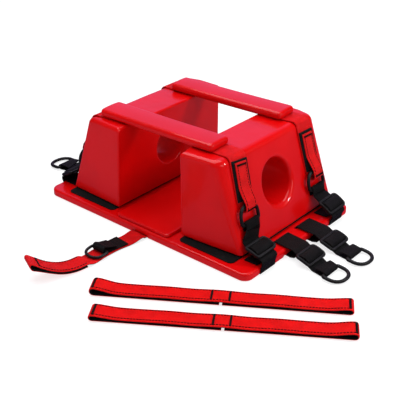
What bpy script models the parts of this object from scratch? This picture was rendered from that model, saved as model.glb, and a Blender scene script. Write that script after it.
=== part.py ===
"""Head immobiliser set for a rescue spine board.

A dipped-foam base board carries two trapezoid head blocks on hook-and-loop pads. Two padded bars on
head straps hold the blocks down, each strap end folded round a D-ring and closed by a peel tab. Webbing
with tri-glides and D-rings ties the set to a board, and two loose board straps lie in front of it.

Metres, +Z up. The origin is the middle of the base board's underside; X runs along the board, from the
left block to the right one, and Y runs from the front edge (chin side) to the back edge.
"""

import math
from collections import namedtuple

import bmesh
import bpy
from mathutils import Matrix, Vector

GAP = 0.0003  # between touching pieces

# Base board
BOARD_X, BOARD_Y, BOARD_T = 0.400, 0.262, 0.012
BOARD_CORNER, BOARD_EDGE = 0.014, 0.003
CENTRE_PAD_X, CENTRE_PAD_T = 0.104, 0.005
CENTRE_PAD_FRONT, CENTRE_PAD_BACK = -0.127, 0.126
GRIP_T = 0.0012  # one hook or loop sheet
GRIP_INNER, GRIP_OUTER = 0.067, 0.166
GRIP_FRONT, GRIP_BACK = -0.121, 0.124

# Head blocks: distances from the middle plane X = 0 at the bottom and at the top
BLOCK_BOTTOM = BOARD_T + 2 * GRIP_T + 3 * GAP
BLOCK_TOP = 0.146
BLOCK_IN_B, BLOCK_IN_T = 0.063, 0.0595
BLOCK_OUT_B, BLOCK_OUT_T = 0.169, 0.125
BLOCK_FRONT_B, BLOCK_FRONT_T = -0.111, -0.107  # at the inner edge
FRONT_SET_BACK = {1: 0.085, -1: 0.045}  # how far the right and left front faces turn back for each metre outwards
BLOCK_BACK_B, BLOCK_BACK_T = 0.130, 0.127
CORNER_R, SHOULDER_R = 0.012, 0.008
EAR_R, EAR_Y, EAR_Z = 0.032, 0.010, 0.082

# Padded bars on their head straps: name, middle, length, width, turn in degrees
BARS = (
    ("front", (-0.0075, -0.0675), 0.212, 0.043, 2.1),
    ("rear", (0.0, 0.0815), 0.209, 0.041, 3.4),
)
BAR_T = 0.012
STRAP_T = 0.0016
STRAP_W = 0.034
STRAP_Z = BLOCK_TOP + GAP + STRAP_T / 2
BAR_BOTTOM = BLOCK_TOP + STRAP_T + 2 * GAP

# D-rings and tri-glides for the webbing
RING_ROD_R = 0.0026
RING_BAR, RING_ARM, RING_DEPTH = 0.0372, 0.009, 0.0265  # rod centre to rod centre
RING_FULLNESS = 2.3  # 2 is an ellipse, more is squarer
WRAP_R = RING_ROD_R + GAP + STRAP_T / 2
HOOK_R = WRAP_R + 0.0016  # where a strap goes round the curved end
RING_WEB = 0.0300  # width of webbing gathered to pass a ring
GLIDE_W, GLIDE_L, GLIDE_T = 0.0440, 0.0268, 0.003
GLIDE_SLOT, GLIDE_BAR, GLIDE_SLOT_W = 0.0066, 0.0062, 0.0372
GLIDE_FOLD_W = 0.0362
GLIDE_LIFT = STRAP_T / 2 + GAP  # from the webbing's middle to the frame's underside

# Webbing under the board
CHANNEL_W, CHANNEL_D = 0.0362, 0.0026
UNDER_Z = 0.0013
CORNER_START = 0.150
SIDE_SLOT = 0.176
SLOT_X = 0.0044

# Strap ends
TAB_W = 0.025
FOLD_W = 0.0225
FOLD_REACH = 0.0115
PATCH_T = 0.001
STRAP_LIFT = GAP + STRAP_T / 2
PATCH_LIFT = STRAP_T + 2 * GAP + PATCH_T / 2
TAB_LIFT = PATCH_LIFT + PATCH_T / 2 + GAP + STRAP_T / 2
RING_LIFT = WRAP_R + STRAP_T / 2 + GAP
HOOK_LIFT = HOOK_R + STRAP_LIFT

# Each corner harness. strap_top and strap_low are the strap end's y at the top of the block's outer face
# and at its ring, and drop is how far below the ring's curved end the strap turns. Heights are up the face.
Corner = namedtuple(
    "Corner", "name side strap_top strap_low ring_y edge_y ring_height drop tab_top patch_top knee shoulder share"
)
CORNERS = (
    Corner("front", 1, -0.0625, -0.0725, -0.0715, -0.084, 0.0420, 0.0040, 0.1275, 0.1305,
           (0.1658, 0.0320), (0.2045, 0.0210), 0.52),
    Corner("front", -1, -0.0780, -0.0800, -0.0800, -0.084, 0.0420, 0.0040, 0.1275, 0.1305,
           (0.1690, 0.0365), (0.2055, 0.0180), 0.47),
    Corner("rear", 1, 0.0950, 0.0920, 0.0895, 0.089, 0.0325, 0.0075, 0.1170, 0.1210,
           (0.1735, 0.0365), (0.2065, 0.0185), 0.46),
    Corner("rear", -1, 0.0770, 0.0800, 0.0800, 0.089, 0.0325, 0.0075, 0.1170, 0.1210,
           (0.1735, 0.0365), (0.2065, 0.0185), 0.46),
)
# Each side strap: name, side, y at its slot, y at its ring, reach of its ring, crest, the glide's place
SIDE_STRAPS = (
    ("right_front", 1, -0.020, -0.037, 0.272, (0.212, 0.0142), 0.53),
    ("right_rear", 1, 0.035, 0.022, 0.274, (0.212, 0.0142), 0.56),
    ("left_front", -1, -0.030, -0.047, 0.2545, (0.2035, 0.0215), 0.50),
    ("left_rear", -1, 0.037, 0.026, 0.2505, (0.2035, 0.0225), 0.48),
)
# Loose board straps: name, ends of the middle line on the floor, how far each end loop stands open
LOOSE_STRAPS = (
    ("loose_board_strap_1", (0.0505, -0.2755), (0.3415, -0.0885), 0.0065, 0.0035),
    ("loose_board_strap_2", (0.0905, -0.3150), (0.3735, -0.1290), 0.0035, 0.0045),
)
LOOSE_W = 0.029
LOOSE_PLY = 0.0026
# Front strap
FRONT_W = 0.028
FRONT_START = -0.070
FRONT_RING_X, FRONT_RING_Y = -0.0080, -0.2030
FRONT_RING_SIZE, FRONT_WEB = 0.82, 0.0225
FRONT_DOUBLED = -0.2400  # where the lower ply of its doubled end stops
FRONT_PLY = 0.0024
FRONT_LOW = 0.0004 + FRONT_PLY / 2
FRONT_CHANNEL_D = 0.0044


# ---------- scene and materials ----------


def clear_scene():
    for item in list(bpy.data.objects):
        bpy.data.objects.remove(item, do_unlink=True)


def collection(name, hidden=False):
    made = bpy.data.collections.new(name)
    bpy.context.scene.collection.children.link(made)
    made.hide_render = hidden
    return made


def material(name, colour, roughness):
    made = bpy.data.materials.new(name)
    made.use_nodes = True
    shader = made.node_tree.nodes["Principled BSDF"]
    shader.inputs["Base Color"].default_value = (*colour, 1)
    shader.inputs["Roughness"].default_value = roughness
    shader.inputs["Metallic"].default_value = 0.0
    return made


def finish(obj, look):
    obj.data.materials.clear()
    obj.data.materials.append(look)
    PARTS.objects.link(obj)
    return obj


def mesh_object(name, bm, look):
    mesh = bpy.data.meshes.new(name)
    bmesh.ops.recalc_face_normals(bm, faces=bm.faces)
    bm.to_mesh(mesh)
    bm.free()
    return finish(bpy.data.objects.new(name, mesh), look)


# ---------- shapes ----------


def box_bmesh(low, high):
    bm = bmesh.new()
    bmesh.ops.create_cube(bm, size=1)
    size = Vector(high) - Vector(low)
    middle = (Vector(high) + Vector(low)) / 2
    for vert in bm.verts:
        vert.co = Vector(a * b for a, b in zip(vert.co, size)) + middle
    return bm


def bevel_weights(bm, weight_of):
    """Gives each edge the bevel weight that weight_of says for its middle and direction."""
    layer = bm.edges.layers.float.new("bevel_weight_edge")
    for edge in bm.edges:
        middle = (edge.verts[0].co + edge.verts[1].co) / 2
        along = (edge.verts[1].co - edge.verts[0].co).normalized()
        edge[layer] = weight_of(middle, along)


def add_bevel(obj, width, segments=2):
    bevel = obj.modifiers.new("rounding", "BEVEL")
    bevel.width = width
    bevel.segments = segments
    bevel.limit_method = "WEIGHT"
    return bevel


def slab(name, low, high, corner, edge, look):
    """A flat pad with rounded corners in plan and a smaller rounding along its faces."""
    bm = box_bmesh(low, high)
    uprights = [e for e in bm.edges if abs(e.verts[0].co.z - e.verts[1].co.z) > 1e-6]
    bmesh.ops.bevel(bm, geom=uprights, offset=corner, segments=4, affect="EDGES", profile=0.5)
    if edge:
        middle_z = (low[2] + high[2]) / 2
        top = [
            e for e in bm.edges
            if e.calc_length() > 1e-6
            and abs(e.verts[0].co.z - e.verts[1].co.z) < 1e-6
            and e.verts[0].co.z > middle_z
        ]
        bmesh.ops.bevel(bm, geom=top, offset=edge, segments=2, affect="EDGES", profile=0.5)
    return mesh_object(name, bm, look)


def rounded_path(points, radii, steps=3):
    """The polyline through the points with each inner corner replaced by an arc of its own radius."""
    points = [Vector(p) for p in points]
    if not isinstance(radii, (list, tuple)):
        radii = [radii] * (len(points) - 2)
    path = [points[0]]
    for before, corner, after, radius in zip(points, points[1:], points[2:], radii):
        back = (before - corner).normalized()
        ahead = (after - corner).normalized()
        angle = back.angle(ahead)
        if angle > math.radians(176):
            path.append(corner)
            continue
        reach = min(radius / math.tan(angle / 2), 0.45 * (before - corner).length, 0.45 * (after - corner).length)
        size = reach * math.tan(angle / 2)
        centre = corner + (back + ahead).normalized() * (size / math.sin(angle / 2))
        first = corner + back * reach - centre
        last = corner + ahead * reach - centre
        sweep = first.angle(last)
        for step in range(steps + 1):
            t = step / steps
            spun = first * math.sin((1 - t) * sweep) + last * math.sin(t * sweep)
            path.append(centre + spun / math.sin(sweep))
    return path + [points[-1]]


def ribbon(name, path, width, thickness, look, sides=None):
    """Webbing of one thickness along a path. Its width lies along Y, or along each point's side vector.

    width is one number, or one for each point."""
    sides = sides or [Vector((0, 1, 0))] * len(path)
    widths = width if isinstance(width, list) else [width] * len(path)
    bm = bmesh.new()
    near = [bm.verts.new(p - s * w / 2) for p, s, w in zip(path, sides, widths)]
    far = [bm.verts.new(p + s * w / 2) for p, s, w in zip(path, sides, widths)]
    for i in range(len(path) - 1):
        bm.faces.new((near[i], near[i + 1], far[i + 1], far[i]))
    obj = mesh_object(name, bm, look)
    solid = obj.modifiers.new("thickness", "SOLIDIFY")
    solid.thickness = thickness
    solid.offset = 0
    solid.use_even_offset = True
    return obj


def set_origin(obj, point):
    """Move an object's origin to a point, leaving its shape where it is."""
    shift = Vector(point) - obj.location
    obj.data.transform(Matrix.Translation(-shift))
    obj.location = point


def attach(child, parent):
    """Parent one object to another, leaving it where it is."""
    child.parent = parent
    child.matrix_parent_inverse = parent.matrix_basis.inverted()


def d_outline():
    """Rod centreline of a D-ring: its straight bar on Y at X = 0, its round end towards +X."""
    half = RING_BAR / 2
    points = [Vector((0, y, 0)) for y in (-half + 0.003, 0, half - 0.003)]
    points.append(Vector((0.003, half, 0)))
    steps = 12
    power = 2 / RING_FULLNESS
    for step in range(steps + 1):
        angle = math.pi * (0.5 - step / steps)
        reach = (RING_DEPTH - RING_ARM) * abs(math.cos(angle)) ** power
        spread = math.copysign(half * abs(math.sin(angle)) ** power, math.sin(angle))
        points.append(Vector((RING_ARM + reach, spread, 0)))
    points.append(Vector((0.003, -half, 0)))
    return points


def ring_curve(size):
    curve = bpy.data.curves.new("d_ring", "CURVE")
    curve.dimensions = "3D"
    curve.bevel_depth = RING_ROD_R * size
    curve.bevel_resolution = 2
    spline = curve.splines.new("POLY")
    points = d_outline()
    spline.points.add(len(points) - 1)
    for target, point in zip(spline.points, points):
        target.co = (*(point * size), 1)
    spline.use_cyclic_u = True
    return curve


def ring(name, place, turn, look, size=1.0):
    """A D-ring whose bar's middle is at place, turned by Euler angles."""
    obj = bpy.data.objects.new(name, ring_curve(size))
    obj.location = place
    obj.rotation_euler = turn
    return finish(obj, look)


def rectangle(spline, half_x, half_y, centre_x, radius):
    """Fills a POLY spline with a rectangle whose corners are arcs."""
    points = []
    corners = ((1, 1, 0), (-1, 1, 90), (-1, -1, 180), (1, -1, 270))
    for sign_x, sign_y, start in corners:
        middle = (centre_x + sign_x * (half_x - radius), sign_y * (half_y - radius))
        for step in range(4):
            angle = math.radians(start + 30 * step)
            points.append((middle[0] + radius * math.cos(angle), middle[1] + radius * math.sin(angle)))
    spline.points.add(len(points) - 1)
    for target, point in zip(spline.points, points):
        target.co = (*point, 0, 1)
    spline.use_cyclic_u = True


def glide_curve():
    """Tri-glide frame: an outline with two slots either side of a middle bar."""
    curve = bpy.data.curves.new("tri_glide", "CURVE")
    curve.dimensions = "2D"
    curve.fill_mode = "BOTH"
    curve.extrude = GLIDE_T / 2
    rectangle(curve.splines.new("POLY"), GLIDE_L / 2, GLIDE_W / 2, 0, 0.004)
    slot_middle = (GLIDE_BAR + GLIDE_SLOT) / 2
    for sign in (-1, 1):
        rectangle(curve.splines.new("POLY"), GLIDE_SLOT / 2, GLIDE_SLOT_W / 2, sign * slot_middle, 0.0015)
    return curve


def tri_glide(prefix, start, end, share, side, looks):
    """A tri-glide frame at a share of a straight webbing run, and the webbing fold over its bar."""
    along = (end - start).normalized()
    flat = Vector((along.x, 0, along.z)).normalized()
    up = Vector((0, 1, 0)).cross(flat) * -side
    middle = start.lerp(end, share)
    frame = bpy.data.objects.new(prefix + "_tri_glide", glide_curve())
    frame.location = middle + up * (GLIDE_LIFT + GLIDE_T / 2)
    frame.rotation_euler = (0, -math.atan2(flat.z, flat.x), 0)
    finish(frame, looks["plastic"])
    over = GLIDE_LIFT + GLIDE_T + GAP + STRAP_T / 2
    foot = GLIDE_LIFT + 0.0010
    hump = [(-0.0066, foot), (-0.0060, over), (0, over + 0.0006), (0.0060, over), (0.0066, foot)]
    path = rounded_path([middle + flat * a + up * b for a, b in hump], 0.0025)
    fold = ribbon(prefix + "_glide_fold", path, GLIDE_FOLD_W, STRAP_T, looks["webbing"])
    attach(fold, frame)


def wrap(centre, start_direction, turn_axis, sweep, radius=WRAP_R, steps=8):
    """Points round a ring's bar, from start_direction through sweep about turn_axis."""
    points = []
    for step in range(steps + 1):
        angle = sweep * step / steps
        spoke = Vector(start_direction) * math.cos(angle)
        spoke += Vector(turn_axis).cross(Vector(start_direction)) * math.sin(angle)
        points.append(Vector(centre) + spoke * radius)
    return points


def gathered(path, ring_at):
    """Webbing widths along a path: full, and gathered near the bar of a D-ring."""
    far = [min(1.0, max(0.0, ((point - ring_at).length - 0.009) / 0.013)) for point in path]
    return [RING_WEB + (STRAP_W - RING_WEB) * share for share in far]


def face_point(side, y, height, lift):
    """A point on a block's outer face: height up the slope from its foot, lift off the face."""
    rise = Vector((BLOCK_OUT_T - BLOCK_OUT_B, 0, BLOCK_TOP - BLOCK_BOTTOM)).normalized()
    normal = Vector((rise.z, 0, -rise.x))
    point = Vector((BLOCK_OUT_B, 0, BLOCK_BOTTOM)) + rise * height + normal * lift
    return Vector((side * point.x, y, point.z))


def face_directions(side):
    rise = face_point(side, 0, 1, 0) - face_point(side, 0, 0, 0)
    normal = face_point(side, 0, 0, 1) - face_point(side, 0, 0, 0)
    return rise, normal


def on_face(corner, height, lift):
    """A point on the middle line of a strap end, which runs a little askew down the face."""
    share = (height - corner.ring_height) / (0.130 - corner.ring_height)
    y = corner.strap_low + (corner.strap_top - corner.strap_low) * min(1.0, max(0.0, share))
    return face_point(corner.side, y, height, lift)


# ---------- sub-parts ----------


def cutter(low, high):
    mesh = bpy.data.meshes.new("cutter")
    bm = box_bmesh(low, high)
    bm.to_mesh(mesh)
    bm.free()
    return hide_cutter(bpy.data.objects.new("cutter", mesh))


def hide_cutter(obj):
    obj.hide_render = True
    obj.display_type = "WIRE"
    CUTTERS.objects.link(obj)
    return obj


def cut(obj, tool):
    boolean = obj.modifiers.new("cut", "BOOLEAN")
    boolean.operation = "DIFFERENCE"
    boolean.solver = "EXACT"
    boolean.object = tool


def base_board(look):
    half_x, half_y = BOARD_X / 2, BOARD_Y / 2
    board = slab("base_board", (-half_x, -half_y, 0), (half_x, half_y, BOARD_T), BOARD_CORNER, BOARD_EDGE, look)
    half_w = CHANNEL_W / 2
    for corner in CORNERS:
        ends = sorted((corner.side * (CORNER_START - 0.002), corner.side * (half_x + 0.001)))
        low_y, high_y = corner.edge_y - half_w, corner.edge_y + half_w
        cut(board, cutter((ends[0], low_y, -0.001), (ends[1], high_y, CHANNEL_D)))
    for _, side, slot_y, _, _, _, _ in SIDE_STRAPS:
        slot_in, slot_out = SIDE_SLOT - SLOT_X / 2, SIDE_SLOT + SLOT_X / 2
        under = sorted((side * slot_in, side * (half_x + 0.001)))
        through = sorted((side * slot_in, side * slot_out))
        cut(board, cutter((under[0], slot_y - 0.024, -0.001), (under[1], slot_y + half_w, CHANNEL_D)))
        cut(board, cutter((through[0], slot_y - half_w, -0.002), (through[1], slot_y + half_w, BOARD_T + 0.002)))
    front_w = FRONT_W / 2 + 0.001
    cut(board, cutter((-front_w, -half_y - 0.001, -0.001), (front_w, FRONT_START + 0.002, FRONT_CHANNEL_D)))


def pads(looks):
    front, back = CENTRE_PAD_FRONT, CENTRE_PAD_BACK
    low = BOARD_T + GAP
    half = CENTRE_PAD_X / 2
    slab("centre_pad", (-half, front, low), (half, back, low + CENTRE_PAD_T), 0.004, 0.0018, looks["vinyl"])
    for side, name in ((-1, "left"), (1, "right")):
        ends = sorted((side * GRIP_INNER, side * GRIP_OUTER))
        corner = (ends[0], GRIP_FRONT, low)
        slab(name + "_base_loop_pad", corner, (ends[1], GRIP_BACK, low + GRIP_T), 0.007, 0, looks["grip"])
        low_hook = low + GRIP_T + GAP
        inner = BLOCK_IN_B + 0.004
        ends = sorted((side * inner, side * (BLOCK_OUT_B - 0.003)))
        corner = (ends[0], BLOCK_FRONT_B + 0.013, low_hook)
        far = (ends[1], BLOCK_BACK_B - 0.005, low_hook + GRIP_T)
        slab(name + "_block_hook_pad", corner, far, 0.004, 0, looks["grip"])


def head_block(name, side, look):
    bm = box_bmesh((-1, -1, -1), (1, 1, 1))
    for vert in bm.verts:
        top = vert.co.z > 0
        outer = vert.co.x > 0
        front = vert.co.y < 0
        x_out, x_in = (BLOCK_OUT_T, BLOCK_IN_T) if top else (BLOCK_OUT_B, BLOCK_IN_B)
        y_front, y_back = (BLOCK_FRONT_T, BLOCK_BACK_T) if top else (BLOCK_FRONT_B, BLOCK_BACK_B)
        x = x_out if outer else x_in
        vert.co.x = side * x
        vert.co.y = y_front + FRONT_SET_BACK[side] * (x - BLOCK_IN_B) if front else y_back
        vert.co.z = BLOCK_TOP if top else BLOCK_BOTTOM
    middle_x = (BLOCK_IN_T + BLOCK_OUT_T) / 2

    def weight(middle, along):
        if middle.z < BLOCK_BOTTOM + 0.001:
            return 0.15
        outer = abs(middle.x) > middle_x + 0.02
        if outer and abs(along.y) > 0.9:
            return SHOULDER_R / CORNER_R
        if outer:
            return 0.5 if side < 0 and middle.y < 0 else 1.0
        return 0.25

    bevel_weights(bm, weight)
    block = mesh_object(name, bm, look)
    add_bevel(block, CORNER_R, 4)
    bore = bmesh.new()
    bmesh.ops.create_cone(bore, cap_ends=True, segments=40, radius1=EAR_R, radius2=EAR_R, depth=0.2)
    mesh = bpy.data.meshes.new("ear_bore")
    bore.to_mesh(mesh)
    bore.free()
    tool = hide_cutter(bpy.data.objects.new("ear_bore", mesh))
    tool.location = (side * 0.11, EAR_Y, EAR_Z)
    tool.rotation_euler = (0, math.pi / 2, 0)
    cut(block, tool)


def bar(row, look):
    name, middle, length, width, turn = row
    bm = box_bmesh((-length / 2, -width / 2, BAR_BOTTOM), (length / 2, width / 2, BAR_BOTTOM + BAR_T))
    bmesh.ops.rotate(bm, verts=bm.verts, matrix=Matrix.Rotation(math.radians(turn), 3, "Z"))
    bmesh.ops.translate(bm, verts=bm.verts, vec=(*middle, 0))
    bevel_weights(bm, lambda middle, along: 1.0)
    add_bevel(mesh_object(name + "_bar", bm, look), 0.0042, 3)


def strap_end(corner):
    """Path of a strap end round a ring's curved end, its widths, and where its peel tab goes on.

    The fold comes down the face, turns below the rod and comes up outside it, leaning to the face."""
    _, normal = face_directions(corner.side)
    apex = corner.ring_height + RING_DEPTH
    turn_at = apex - corner.drop
    turn = wrap(on_face(corner, turn_at, HOOK_LIFT), -normal, (0, corner.side, 0), -math.pi, HOOK_R)
    lean_start = on_face(corner, apex + 0.002, HOOK_LIFT + HOOK_R)
    lean_end = on_face(corner, apex + 0.024, TAB_LIFT)
    seam = lean_start.lerp(lean_end, FOLD_REACH / 0.024)
    path = [on_face(corner, turn_at + h, STRAP_LIFT) for h in (0.0080, 0.0015)] + turn + [lean_start, seam]
    widths = [STRAP_W, FOLD_W + 0.002] + [FOLD_W] * (len(turn) + 2)
    return path, widths, seam, lean_end


def head_strap(row, look):
    """One strap under a bar, over both blocks' shoulders, down the faces and round the D-rings."""
    name, middle, length, _, turn = row

    def half(corner):
        rise, _ = face_directions(corner.side)
        foot = face_point(corner.side, 0, 0, STRAP_LIFT)
        corner_x = foot.x + rise.x * (STRAP_Z - foot.z) / rise.z
        fold, widths, _, _ = strap_end(corner)
        reach = corner.side * length * 0.38
        bar_end = Vector((middle[0] + reach, middle[1] + reach * math.sin(math.radians(turn)), STRAP_Z))
        edge = Vector((corner_x, corner.strap_top, STRAP_Z))
        path = rounded_path([bar_end, edge, fold[0]], SHOULDER_R + STRAP_LIFT, 5)
        return path + fold[1:], [STRAP_W] * len(path) + widths[1:]

    right, left = (half(corner) for corner in CORNERS if corner.name == name)
    ribbon(name + "_head_strap", left[0][::-1] + right[0], left[1][::-1] + right[1], STRAP_T, look)


def corner_harness(corner, looks):
    """Loop patch, peel tab, D-ring, webbing and tri-glide of one strap end."""
    side, ring_y, edge_y, ring_height = corner.side, corner.ring_y, corner.edge_y, corner.ring_height
    prefix = ("left_" if side < 0 else "right_") + corner.name
    rise, normal = face_directions(side)

    low = ring_height + RING_DEPTH - corner.drop + 0.0085
    ends = [on_face(corner, h, PATCH_LIFT) for h in (low, corner.patch_top)]
    ribbon(prefix + "_loop_patch", ends, STRAP_W - 0.002, PATCH_T, looks["grip"])

    bar_at = face_point(side, ring_y, ring_height, RING_LIFT)
    slope = math.atan2(rise.z, rise.x) - side * math.atan2(HOOK_LIFT - RING_LIFT, RING_DEPTH)
    ring(prefix + "_corner_ring", bar_at, (0, -slope, 0), looks["plastic"])

    _, _, seam, lean_end = strap_end(corner)
    lean = (lean_end - seam).normalized()
    path = rounded_path([seam + lean * GAP, lean_end, on_face(corner, corner.tab_top, TAB_LIFT)], 0.02)
    tab = ribbon(prefix + "_peel_tab", path, TAB_W, STRAP_T, looks["strap"])
    outward = Vector((side * lean.z, 0, -side * lean.x)).normalized()
    set_origin(tab, seam + outward * STRAP_T / 2)

    edge_x = side * (BOARD_X / 2 + GAP + STRAP_T / 2)
    shoulder = Vector((side * corner.shoulder[0], edge_y, corner.shoulder[1]))
    knee = Vector((side * corner.knee[0], (ring_y + edge_y) / 2, corner.knee[1]))
    route = [
        Vector((side * CORNER_START, edge_y, UNDER_Z)),
        Vector((edge_x, edge_y, UNDER_Z)),
        Vector((edge_x, edge_y, BOARD_T - 0.004)),
        shoulder,
        knee,
        face_point(side, ring_y, ring_height - 0.010, RING_LIFT + 0.0015),
        face_point(side, ring_y, ring_height - 0.002, RING_LIFT + WRAP_R),
    ]
    fold = wrap(bar_at, normal, (0, side, 0), -math.pi)
    tail = face_point(side, ring_y, ring_height - 0.009, RING_LIFT - WRAP_R)
    path = rounded_path(route, [0.0012, 0.006, 0.0045, 0.006, 0.006])[:-1] + fold + [tail]
    ribbon(prefix + "_corner_webbing", path, gathered(path, bar_at), STRAP_T, looks["webbing"])
    tri_glide(prefix + "_corner", shoulder, knee, corner.share, -side, looks)


def side_strap(row, looks):
    """Webbing looped round the board's end through its slot, with a tri-glide and a free D-ring."""
    name, side, slot_y, ring_y, out, crest_at, share = row
    ring_z = WRAP_R + STRAP_T / 2 + GAP

    def at(x, z):
        turned = max(0.0, (x - 0.200) / (out - 0.200))
        return Vector((side * x, slot_y + (ring_y - slot_y) * min(1.0, turned), z))

    crest = at(*crest_at)
    landing = at(out - 0.0195, 0.0016)
    bar_at = at(out, ring_z)
    route = [
        at(0.218, 0.0055), at(0.207, UNDER_Z), at(SIDE_SLOT, UNDER_Z), at(SIDE_SLOT, BOARD_T + 0.0025),
        crest, landing, bar_at - Vector((0, 0, WRAP_R)),
    ]
    fold = wrap(bar_at, (0, 0, -1), (0, side, 0), -math.pi)
    tail = [at(out - 0.006, ring_z + WRAP_R), at(out - 0.015, ring_z + 0.0026)]
    path = rounded_path(route, 0.003)[:-1] + fold + tail
    ribbon(name + "_side_webbing", path, gathered(path, bar_at), STRAP_T, looks["webbing"])
    tilt = side * math.atan2(ring_z - RING_ROD_R - GAP, RING_DEPTH)
    turn = (0, tilt, 0) if side > 0 else (0, math.pi + tilt, 0)
    ring(name + "_side_ring", bar_at, turn, looks["plastic"])
    tri_glide(name + "_side", crest, landing, share, side, looks)


def level_sides(path):
    """For each point of a path, the horizontal direction across it."""
    sides = []
    for i, _ in enumerate(path):
        step = path[min(i + 1, len(path) - 1)] - path[max(i - 1, 0)]
        flat = Vector((step.x, step.y, 0))
        across = Vector((-flat.y, flat.x, 0)).normalized()
        if sides and across.dot(sides[-1]) < 0:
            across = -across
        sides.append(across if flat.length > 1e-6 else sides[-1])
    return sides


def smooth(points, per_span=5):
    """A Catmull-Rom curve through the points."""
    points = [Vector(p) for p in points]
    ends = [2 * points[0] - points[1]] + points + [2 * points[-1] - points[-2]]
    path = []
    for a, b, c, d in zip(ends, ends[1:], ends[2:], ends[3:]):
        for step in range(per_span):
            t = step / per_span
            path.append(
                0.5 * (2 * b + (c - a) * t + (2 * a - 5 * b + 4 * c - d) * t**2 + (3 * b - a - 3 * c + d) * t**3)
            )
    return path + [points[-1]]


def folded_back(upper, gap_low, gap_tip, ply, stop_y):
    """Doubles a path at its far end: a round turn, then back under it until it reaches stop_y.

    gap_low and gap_tip are the clear heights between the plies along the run and at the turn."""
    last = upper[-1]
    ahead = (upper[-1] - upper[-2]).normalized()
    reach = gap_tip + ply
    turn = []
    for step in range(1, 8):
        angle = math.pi * step / 7
        drop = reach / 2 * (1 - math.cos(angle))
        turn.append(last + ahead * (0.5 * reach * math.sin(angle)) - Vector((0, 0, drop)))
    lower = []
    for point in upper[-2::-1]:
        if point.y > stop_y:
            break
        blend = max(0.0, 1 - (point - last).length / 0.035)
        lower.append(point - Vector((0, 0, ply + gap_low + (gap_tip - gap_low) * blend**2)))
    return upper + turn + lower


def front_strap(looks):
    """Red strap out from under the board, doubled at its free end, with a webbing D-ring on it."""
    low = FRONT_LOW
    route = [
        (0, FRONT_START, UNDER_Z + 0.0002), (0, -0.129, UNDER_Z + 0.0002), (0, -0.138, 0.0044),
        (-0.002, -0.155, low), (-0.006, -0.180, low), (-0.007, -0.205, low), (-0.006, -0.228, low),
        (-0.0065, -0.2385, low + 0.0037), (-0.0085, -0.2550, low + 0.0042), (-0.0125, -0.2700, low + 0.0062),
        (-0.0175, -0.2840, low + 0.0112), (-0.0225, -0.2965, low + 0.0187), (-0.0290, -0.3115, low + 0.0305),
    ]
    upper = smooth(route)
    path = folded_back(upper, 0.0012, 0.0060, FRONT_PLY, FRONT_DOUBLED)
    turned = level_sides(upper)
    sides = turned + [turned[-1]] * 7
    for i in range(len(upper) - 2, -1, -1):
        if len(sides) == len(path):
            break
        sides.append(turned[i])
    ribbon("front_strap", path, FRONT_W, FRONT_PLY, looks["strap"], sides)

    sheet_z = low + FRONT_PLY / 2 + GAP + STRAP_T / 2
    rod = RING_ROD_R * FRONT_RING_SIZE
    wrap_r = rod + GAP + STRAP_T / 2
    bar_at = Vector((FRONT_RING_X, FRONT_RING_Y, sheet_z + wrap_r))
    across = Vector((1, 0, 0))
    fold = wrap(bar_at, (0, 0, -1), (-1, 0, 0), math.pi, wrap_r)
    path = [Vector((-0.0045, -0.163, sheet_z)), Vector((-0.0065, -0.184, sheet_z))] + fold
    path += [bar_at + Vector((0, 0.008, wrap_r - 0.0008)), bar_at + Vector((0.001, 0.021, 0))]
    widths = [FRONT_W, FRONT_W - 0.001] + [FRONT_WEB] * (len(fold) + 1) + [FRONT_WEB + 0.003]
    ribbon("front_strap_webbing", path, widths, STRAP_T, looks["webbing"], [across] * len(path))
    fall = math.atan2(bar_at.z - FRONT_LOW - FRONT_PLY / 2 - rod - GAP, RING_DEPTH * FRONT_RING_SIZE)
    ring("front_strap_ring", bar_at, (0, fall, -math.pi / 2), looks["plastic"], FRONT_RING_SIZE)


def loose_strap(name, start, end, open_start, open_end, look):
    """A flattened loop: both ends of the strip turned under, meeting near the middle."""
    start, end = Vector((*start, 0)), Vector((*end, 0))
    along = (end - start).normalized()
    across = Vector((-along.y, along.x, 0))
    length = (end - start).length
    low = 0.0003 + LOOSE_PLY / 2
    high = low + LOOSE_PLY + 0.0008

    def at(distance, z):
        return start + along * distance + Vector((0, 0, z))

    def end_loop(place, tip):
        """From the floor round the open end and down on to the lower ply; place maps the distance in."""
        radius = (high + tip - low) / 2
        turn = [math.pi * step / 8 for step in range(9)]
        points = [at(place(radius * (1 - math.sin(a))), low + radius * (1 - math.cos(a))) for a in turn]
        fall = ((0.010, 0.86), (0.018, 0.55), (0.027, 0.22), (0.036, 0.05), (0.046, 0.0))
        return points + [at(place(distance + 0.3 * radius), high + tip * share) for distance, share in fall]

    gap_at = length * 0.505
    left = end_loop(lambda distance: distance, open_start)
    right = end_loop(lambda distance: length - distance, open_end)[::-1]
    path = [at(gap_at - 0.002, low), at(0.030, low)] + left
    path += [at(length * 0.35, high), at(length * 0.65, high)]
    path += right + [at(length - 0.030, low), at(gap_at + 0.002, low)]
    ribbon(name, path, LOOSE_W, LOOSE_PLY, look, [across] * len(path))


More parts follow.
